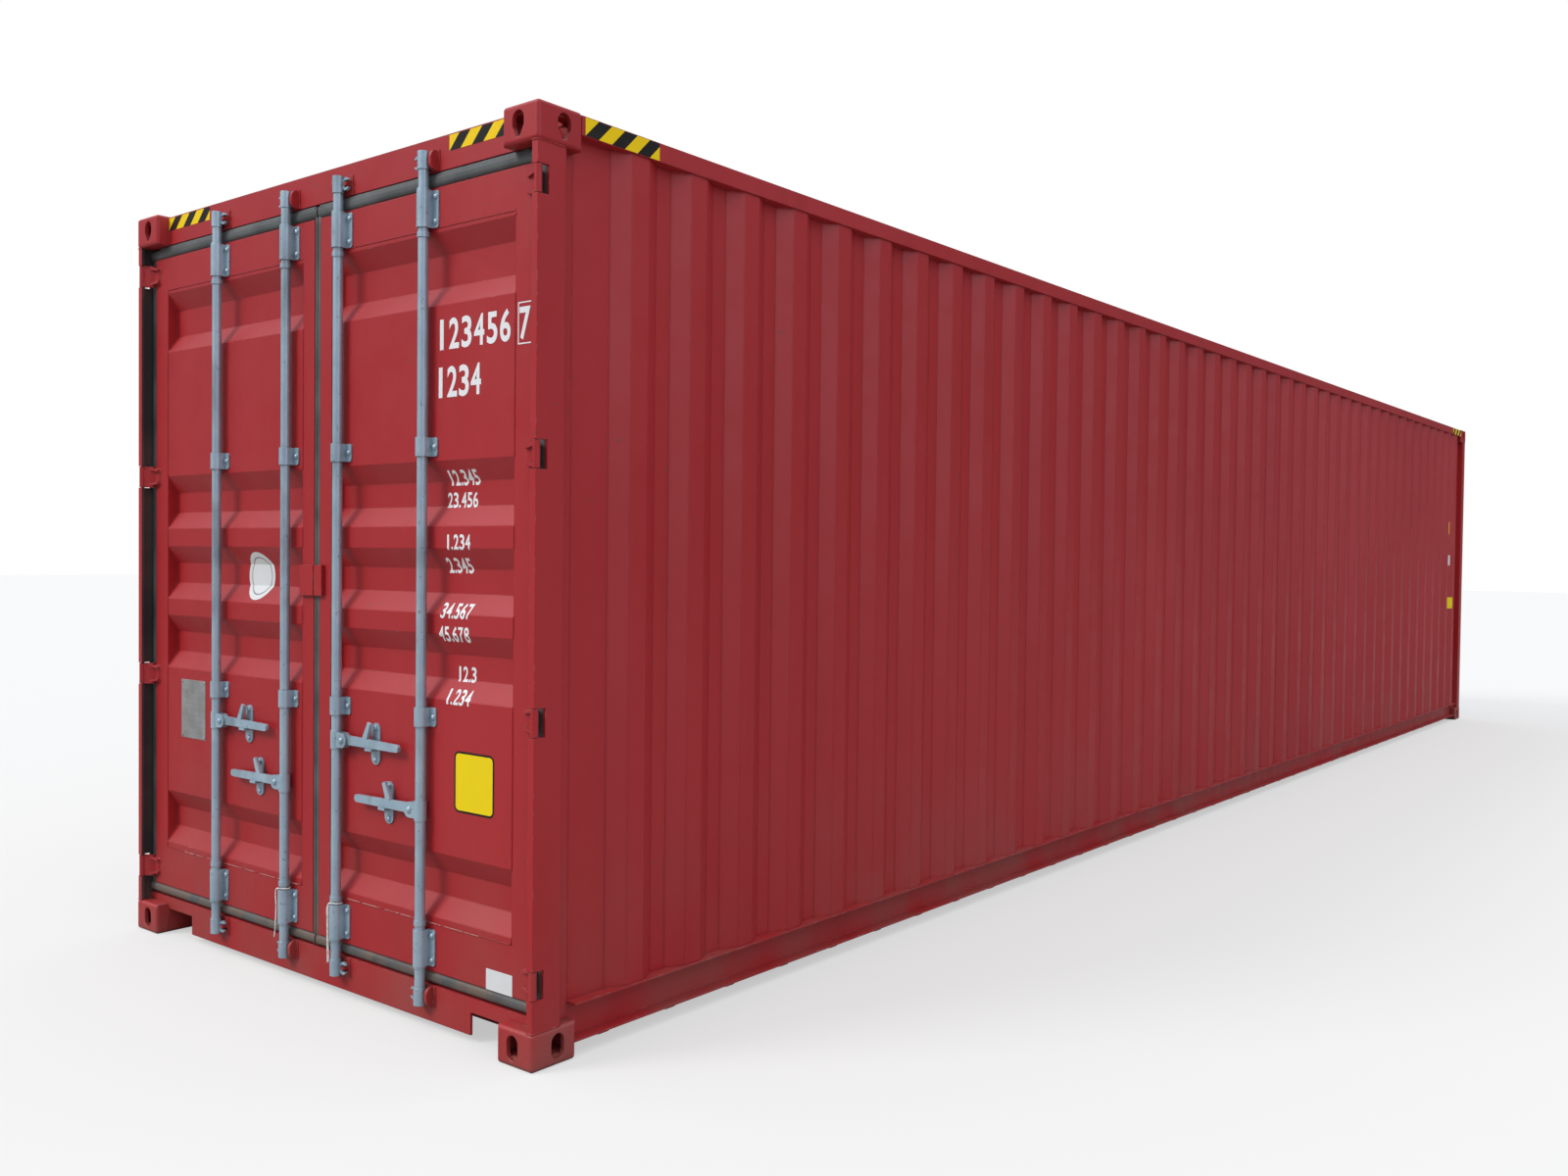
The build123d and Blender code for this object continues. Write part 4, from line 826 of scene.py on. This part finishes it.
# Two ends of thin laid rope, three strands of pale fibre, left tied round the inner lock bars
# just above their lower straps. They hang down over the straps and ride on the leaves.
STRAND_RADIUS = 0.00132
STRAND_OFFSET = 0.00116
STRAND_LAY = 0.019
STRAND_SIDES = 8
STRANDS = 3
ROPE_STEPS = 20
ROPE_CLEAN = (0.86, 0.85, 0.81, 1)
ROPE_SOILED = (0.62, 0.59, 0.53, 1)
LEFT_ROPE = [
    (29.0, 185.0, 332.0), (46.0, 171.7, 331.2), (46.0, 154.3, 331.4), (33.7, 142.0, 331.6),
    (16.3, 142.0, 333.0), (4.0, 154.3, 334.5), (3.2, 181.0, 333.5), (4.2, 187.5, 309.0),
    (5.0, 184.0, 272.0), (5.6, 186.0, 234.0), (5.0, 189.0, 199.0), (6.0, 193.0, 172.0),
    (6.6, 199.0, 150.0),
]
RIGHT_ROPE = [
    (7.0, -140.0, 124.0), (7.0, -141.5, 147.0), (6.0, -140.5, 178.0), (5.0, -142.2, 210.0),
    (5.0, -140.6, 243.0), (5.2, -141.2, 275.0), (6.0, -137.0, 302.0), (10.5, -135.0, 322.0),
    (18.5, -139.0, 332.0), (33.7, -142.0, 332.0), (46.0, -154.3, 331.4), (46.0, -171.7, 331.2),
    (33.7, -184.0, 331.8), (16.3, -184.0, 334.0), (4.0, -171.7, 336.5), (3.0, -150.0, 335.5),
    (3.2, -148.0, 309.0), (3.5, -149.0, 276.0), (3.4, -148.2, 242.0), (3.6, -149.4, 209.0),
    (4.8, -148.6, 176.0), (5.5, -149.6, 149.0), (6.0, -147.2, 127.0),
]


def rope_fibre():
    material, tree, surface, place = begin_finish("rope_fibre")
    soiled = speckle(tree, place, 60.0, 0.45, 0.7)
    fuzz = speckle(tree, place, 900.0, 0.3, 0.7)
    bump = shader(tree, "Bump", {"Height": fuzz, "Strength": 0.5, "Distance": 0.0004})
    end_finish(tree, surface, mixed(tree, soiled, ROPE_CLEAN, ROPE_SOILED), 0.85, bump)
    return material


def rope_line(route):
    """Points of the smooth line that a rope follows through the points of its route."""
    curve = bpy.data.curves.new("rope_line", "CURVE")
    curve.dimensions = "3D"
    curve.resolution_u = ROPE_STEPS
    spline = curve.splines.new("NURBS")
    spline.points.add(len(route) - 1)
    for point, (depth, y, z) in zip(spline.points, route):
        point.co = (depth / 1000 - HALF_LENGTH, y / 1000, z / 1000, 1)
    spline.order_u = 3
    spline.use_endpoint_u = True
    holder = bpy.data.objects.new("rope_line", curve)
    bpy.context.scene.collection.objects.link(holder)
    line = bpy.data.meshes.new_from_object(holder)
    points = [vertex.co.copy() for vertex in line.vertices]
    bpy.data.objects.remove(holder)
    bpy.data.meshes.remove(line)
    return points


def laid_rope(line):
    """Three strands twisted round the line of a rope."""
    mesh = bmesh.new()
    side = Vector((1, 0, 0))
    rings = [[] for _ in range(STRANDS)]
    travelled = 0.0
    for index, point in enumerate(line):
        ahead = line[min(index + 1, len(line) - 1)] - line[max(index - 1, 0)]
        ahead.normalize()
        side = (side - ahead * side.dot(ahead)).normalized()
        other = ahead.cross(side)
        travelled += (point - line[max(index - 1, 0)]).length
        for strand in range(STRANDS):
            turn = math.tau * (travelled / STRAND_LAY + strand / STRANDS)
            centre = point + (side * math.cos(turn) + other * math.sin(turn)) * STRAND_OFFSET
            ring = []
            for corner in range(STRAND_SIDES):
                angle = math.tau * corner / STRAND_SIDES
                out = side * math.cos(angle) + other * math.sin(angle)
                ring.append(mesh.verts.new(centre + out * STRAND_RADIUS))
            rings[strand].append(ring)
    for strand in rings:
        skin(mesh, strand)
        mesh.faces.new(reversed(strand[0]))
        mesh.faces.new(strand[-1])
    return mesh


rope_finish = rope_fibre()
for side_name, route in (("left", LEFT_ROPE), ("right", RIGHT_ROPE)):
    line = rope_line(route)
    strands = laid_rope(line)
    rope = add_piece(f"laid_rope_{side_name}", strands, [rope_finish], f"{side_name}_door")
    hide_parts(f"tie_rope_{side_name}")


# Height strips: yellow and black bars on the header and on the ends of the top rails, cut from
# adhesive film, that show a box of extra height.
STRIP_YELLOW = (0.970, 0.640, 0.0015, 1)
STRIP_BLACK = (0.012, 0.011, 0.010, 1)
STRIPE_WIDTH = 0.056
STRIP_LIFT = 0.0006
HEADER_STRIP_Y = (0.740, 1.056)
HEADER_STRIP_Z = (2.836, 2.886)
RAIL_STRIP_X = (5.579, 5.904)
RAIL_STRIP_Z = (2.832, 2.888)
RAIL_FACE = HALF_WIDTH - 0.004


def marking_film(name, colour, worn, seed):
    """Paint or film on the steel: a little dirty, and worn through to red in small spots."""
    material, tree, surface, place = begin_finish(name)
    dirty = speckle(tree, place, 9.0, 0.35, 0.85, seed=seed)
    shade = mixed(tree, product(tree, dirty, 0.07), colour, ROAD_DUST)
    gone = speckle(tree, place, 65.0, 0.72 - worn, 0.77 - worn, seed=seed + 1)
    rough = shader(tree, "MapRange", {0: dirty, 3: 0.40, 4: 0.62}).outputs[0]
    surface.inputs["Specular IOR Level"].default_value = 0.18
    bump = shader(tree, "Bump", {"Height": gone, "Strength": 0.3, "Distance": 0.0003}, invert=True)
    end_finish(tree, surface, mixed(tree, gone, shade, CONTAINER_RED), rough, bump)
    return material


def striped_strip(mesh, corner, along, length, height):
    """A strip of bars that lean to the right, from its lower left corner seen from outside."""
    strip = bmesh.new()
    up = Vector((0, 0, height))
    ends = (corner, corner + along * length, corner + along * length + up, corner + up)
    strip.faces.new([strip.verts.new(end) for end in ends])
    lean = along - Vector((0, 0, 1))
    cuts = int((length + height) / STRIPE_WIDTH) + 1
    for index in range(-cuts, cuts):
        bmesh.ops.bisect_plane(
            strip, geom=strip.verts[:] + strip.edges[:] + strip.faces[:],
            plane_co=corner + along * index * STRIPE_WIDTH, plane_no=lean,
        )
    for face in strip.faces:
        across = (face.calc_center_median() - corner).dot(lean)
        face.material_index = (math.floor(across / STRIPE_WIDTH) + 1) % 2
    piece = bpy.data.meshes.new("strip")
    strip.to_mesh(piece)
    strip.free()
    mesh.from_mesh(piece)
    bpy.data.meshes.remove(piece)


strip_films = [
    marking_film("strip_yellow", STRIP_YELLOW, 0.0, 31.0),
    marking_film("strip_black", STRIP_BLACK, 0.02, 33.0),
]
strips = bmesh.new()
header_face = DOOR_FACE - STRIP_LIFT
width = HEADER_STRIP_Y[1] - HEADER_STRIP_Y[0]
height = HEADER_STRIP_Z[1] - HEADER_STRIP_Z[0]
for start in (HEADER_STRIP_Y[1], -HEADER_STRIP_Y[0]):
    corner = Vector((header_face, start, HEADER_STRIP_Z[0]))
    striped_strip(strips, corner, Vector((0, -1, 0)), width, height)
width = RAIL_STRIP_X[1] - RAIL_STRIP_X[0]
height = RAIL_STRIP_Z[1] - RAIL_STRIP_Z[0]
for hand in (-1, 1):
    side = hand * (RAIL_FACE + STRIP_LIFT)
    along = Vector((-hand, 0, 0))
    for near in (RAIL_STRIP_X[0], -RAIL_STRIP_X[1]):
        start = near + width if hand > 0 else near
        striped_strip(strips, Vector((start, side, RAIL_STRIP_Z[0])), along, width, height)
add_piece("height_strips", strips, strip_films, "box")


# Stencilled numbers: plain white digits, sprayed on the right leaf in two large rows and a table
# of small ones. The paint follows the recesses of the sheet.
BIG_ROWS = (("123456", -0.681, 2.205, 0.0624), ("1234", -0.676, 2.052, 0.0590))
BIG_HEIGHT = 0.100
BIG_WIDTH = 0.050
BOXED_DIGIT = ("7", -1.084, 2.205)
DIGIT_MARGIN = (0.003, 0.010)
DIGIT_FRAME_LINE = 0.004
TABLE_ROWS = (
    ("12.345", -0.705, 1.797), ("23.456", -0.693, 1.726), ("1.234", -0.731, 1.590),
    ("2.345", -0.704, 1.515), ("34.567", -0.705, 1.370), ("45.678", -0.698, 1.295),
    ("12.3", -0.748, 1.166), ("1.234", -0.731, 1.094),
)
TABLE_HEIGHT = 0.050
TABLE_WIDTH = 0.025
POINT_WIDTH = 0.008
TABLE_GAP = 0.004
STENCIL_WHITE = (0.850, 0.840, 0.830, 1)
STENCIL_BOLD = 0.022
STENCIL_STEPS = 6
PAINT_LIFT = 0.0005
DRAPE_REACH = 0.5


def glyph(sign):
    """Outline faces of one printed sign, from the plain face that comes with the program."""
    letter = bpy.data.curves.new("glyph", "FONT")
    letter.body = sign
    letter.resolution_u = STENCIL_STEPS
    letter.offset = STENCIL_BOLD
    holder = bpy.data.objects.new("glyph", letter)
    bpy.context.scene.collection.objects.link(holder)
    outline = bpy.data.meshes.new_from_object(holder)
    corners = [vertex.co.copy() for vertex in outline.vertices]
    faces = [list(face.vertices) for face in outline.polygons]
    bpy.data.objects.remove(holder)
    bpy.data.meshes.remove(outline)
    return corners, faces


def stencil(mesh, sign, y, z, width, height):
    """Sets one sign on the plane of the doors: y is its left edge seen from outside."""
    corners, faces = glyph(sign)
    left = min(corner.x for corner in corners)
    wide = max(corner.x for corner in corners) - left
    digit_low, digit_high = DIGIT_SPAN
    grow = height / (digit_high - digit_low)
    squeeze = min(grow, width / wide)
    shift = (width - wide * squeeze) / 2
    made = []
    for corner in corners:
        place = (DOOR_FACE, y - shift - (corner.x - left) * squeeze, z + (corner.y - digit_low) * grow)
        made.append(mesh.verts.new(place))
    for face in faces:
        mesh.faces.new([made[index] for index in face])


def cut_at(mesh, levels, across=Vector((0, 0, 1))):
    """Cuts thin paint where the sheet behind it bends."""
    for level in levels:
        whole = mesh.verts[:] + mesh.edges[:] + mesh.faces[:]
        bmesh.ops.bisect_plane(mesh, geom=whole, plane_co=across * level, plane_no=across)


def drape(mesh, names, toward, lift):
    """Lays the points of thin paint on the pieces behind it, along one direction."""
    behind = bmesh.new()
    for name in names:
        behind.from_mesh(nodes[name].data)
    surface = BVHTree.FromBMesh(behind)
    for vertex in mesh.verts:
        spot = surface.ray_cast(vertex.co - toward * DRAPE_REACH, toward)[0]
        vertex.co = spot - toward * lift
    behind.free()


def rectangle(mesh, low_y, low_z, high_y, high_z, x=DOOR_FACE):
    """Corners of a rectangle on the plane of the doors, or on one in front of it."""
    ends = ((high_y, low_z), (low_y, low_z), (low_y, high_z), (high_y, high_z))
    return [mesh.verts.new((x, y, z)) for y, z in ends]


def ring_frame(mesh, inner, line):
    """Four flat sides of one width round a rectangle on the plane of the doors."""
    outer = (inner[0] - line, inner[1] - line, inner[2] + line, inner[3] + line)
    skin(mesh, [rectangle(mesh, *outer), rectangle(mesh, *inner)], smooth=False)


eight = [corner.y for corner in glyph("8")[0]]
DIGIT_SPAN = (min(eight), max(eight))
BENDS = []
for low, high in RECESSES:
    BENDS += [low, low + RECESS_SLOPE, high - RECESS_SLOPE, high]
digits = bmesh.new()
for text, start, low, pitch in BIG_ROWS:
    for index, sign in enumerate(text):
        stencil(digits, sign, start - index * pitch, low, BIG_WIDTH, BIG_HEIGHT)
sign, start, low = BOXED_DIGIT
stencil(digits, sign, start, low, BIG_WIDTH, BIG_HEIGHT)
aside, above = DIGIT_MARGIN
inner = (start - BIG_WIDTH - aside, low - above, start + aside, low + BIG_HEIGHT + above)
ring_frame(digits, inner, DIGIT_FRAME_LINE)
for text, start, middle in TABLE_ROWS:
    low = middle - TABLE_HEIGHT / 2
    for sign in text:
        wide = POINT_WIDTH if sign == "." else TABLE_WIDTH
        stencil(digits, sign, start, low, wide, TABLE_HEIGHT)
        start -= wide + TABLE_GAP
cut_at(digits, BENDS)
drape(digits, ("door_panel_right", "door_frame_right"), Vector((1, 0, 0)), PAINT_LIFT)
stencil_white = marking_film("stencil_white", STENCIL_WHITE, -0.02, 41.0)
add_piece("stencilled_numbers", digits, [stencil_white], "right_door")


# Films and plate on the leaves: a plain yellow square with a dark edge and a blank white label on
# the right leaf, a round white film and a riveted aluminium plate with empty ruled rows on the left.
SQUARE_CENTRE = (-0.880, 0.826)
SQUARE_HALF = 0.098
SQUARE_ROUND = 0.022
SQUARE_RIM = 0.007
SQUARE_STEPS = 6
ROUND_CENTRE = (0.422, 1.461)
ROUND_RADIUS = 0.090
ROUND_BAND = (0.072, 0.067)
ROUND_INSIDE = (0.0469, 0.0268)
ROUND_SIDES = 48
LABEL_BOX = (-1.066, 0.194, -0.949, 0.252)
LABEL_RIM = 0.004
PLATE_Y = (0.767, 0.951)
PLATE_Z = (0.809, 1.041)
PLATE_THICK = 0.0016
PLATE_CHAMFER = 0.0005
PLATE_RIVET = 0.004
PLATE_RIVET_HEIGHT = 0.0024
PLATE_INSET = 0.009
PLATE_RULES = 9
RULE_HALF = 0.0009
RULE_INSET = 0.018
FILM_YELLOW = (0.900, 0.660, 0.004, 1)
FILM_WHITE = (0.740, 0.740, 0.720, 1)
FILM_GREY = (0.250, 0.255, 0.260, 1)
ALUMINIUM = (0.440, 0.430, 0.420, 1)


def rounded_square(half, radius):
    """Corners of a square with rounded corners, counted against the clock, about its centre."""
    spots = []
    centre = Vector((half - radius, half - radius))
    for quarter in range(4):
        turn = Matrix.Rotation(math.pi / 2 * quarter, 2)
        for step in range(SQUARE_STEPS + 1):
            swing = math.pi / 2 * step / SQUARE_STEPS
            spots.append(turn @ (centre + radius * Vector((math.cos(swing), math.sin(swing)))))
    return spots


film_yellow = marking_film("film_yellow", FILM_YELLOW, -0.04, 43.0)
film_black = marking_film("film_black", STRIP_BLACK, 0.0, 45.0)
film_white = marking_film("film_white", FILM_WHITE, -0.02, 47.0)
film_grey = marking_film("film_grey", FILM_GREY, 0.02, 49.0)

square = bmesh.new()
loops = []
for half, radius in ((SQUARE_HALF, SQUARE_ROUND), (SQUARE_HALF - SQUARE_RIM, SQUARE_ROUND - SQUARE_RIM)):
    loop = []
    for spot in rounded_square(half, radius):
        loop.append(square.verts.new((DOOR_FACE, SQUARE_CENTRE[0] - spot.x, SQUARE_CENTRE[1] + spot.y)))
    loops.append(loop)
square.faces.new(loops[1])
for rim in skin(square, loops, smooth=False):
    rim.material_index = 1
drape(square, ("door_panel_right", "door_frame_right"), Vector((1, 0, 0)), PAINT_LIFT)
add_piece("yellow_square", square, [film_yellow, film_black], "right_door")

label = bmesh.new()
label.faces.new(rectangle(label, *LABEL_BOX))
ring_frame(label, LABEL_BOX, LABEL_RIM)
drape(label, ("door_panel_right", "door_frame_right"), Vector((1, 0, 0)), PAINT_LIFT)
add_piece("blank_label", label, [film_white], "right_door")

disc = bmesh.new()
rings = []
for radius in (ROUND_RADIUS, *ROUND_BAND, *ROUND_INSIDE):
    ring = []
    for corner in range(ROUND_SIDES):
        angle = math.tau * corner / ROUND_SIDES
        y = ROUND_CENTRE[0] - radius * math.cos(angle)
        z = ROUND_CENTRE[1] + radius * math.sin(angle)
        ring.append(disc.verts.new((DOOR_FACE, y, z)))
    rings.append(ring)
band = skin(disc, rings, smooth=False)[ROUND_SIDES:2 * ROUND_SIDES]
for face in band:
    face.material_index = 1
disc.faces.new(rings[-1])
cut_at(disc, BENDS)
drape(disc, ("door_panel_left", "door_frame_left"), Vector((1, 0, 0)), PAINT_LIFT)
add_piece("round_film", disc, [film_white, film_grey], "left_door")

plate = bmesh.new()
size = Vector((PLATE_THICK, PLATE_Y[1] - PLATE_Y[0], PLATE_Z[1] - PLATE_Z[0]))
block(plate, Vector((DOOR_FACE - PLATE_THICK / 2, sum(PLATE_Y) / 2, sum(PLATE_Z) / 2)), size)
bmesh.ops.bevel(plate, geom=plate.edges[:], offset=PLATE_CHAMFER, segments=1, affect="EDGES")
for y in (PLATE_Y[0] + PLATE_INSET, PLATE_Y[1] - PLATE_INSET):
    for z in (PLATE_Z[0] + PLATE_INSET, PLATE_Z[1] - PLATE_INSET):
        seat = Vector((DOOR_FACE - PLATE_THICK, y, z))
        round_head(plate, seat, PLATE_RIVET, PLATE_RIVET_HEIGHT)
rules = bmesh.new()
rule_x = DOOR_FACE - PLATE_THICK - PAINT_LIFT
for rule in range(PLATE_RULES):
    z = PLATE_Z[0] + (rule + 1) * (PLATE_Z[1] - PLATE_Z[0]) / (PLATE_RULES + 1)
    box = (PLATE_Y[0] + RULE_INSET, z - RULE_HALF, PLATE_Y[1] - RULE_INSET, z + RULE_HALF)
    rules.faces.new(rectangle(rules, *box, x=rule_x))
plate_metal = brushed_metal("plate_aluminium", ALUMINIUM)
add_piece("data_plate", plate, [plate_metal], "left_door")
add_piece("plate_rules", rules, [film_grey], "left_door")


# Wall marks: three small films near the closed end of the right wall, two yellow and one white,
# stuck down into the folds of the sheet.
WALL_MARKS = ((5.600, 1.853, 0.055, 0.120), (5.630, 1.546, 0.040, 0.100), (5.660, 1.122, 0.060, 0.110))
marks = bmesh.new()
for index, (x, z, half, rise) in enumerate(WALL_MARKS):
    corners = ((x - half, z), (x + half, z), (x + half, z + rise), (x - half, z + rise))
    face = marks.faces.new([marks.verts.new((along, -HALF_WIDTH, height)) for along, height in corners])
    face.material_index = index % 2
folds = [corner.x for corner in wave_line("side_wall_right", WALL_Z[0])]
cut_at(marks, folds, Vector((1, 0, 0)))
drape(marks, ("side_wall_right",), Vector((0, 1, 0)), PAINT_LIFT)
add_piece("wall_marks", marks, [film_yellow, film_white], "box")
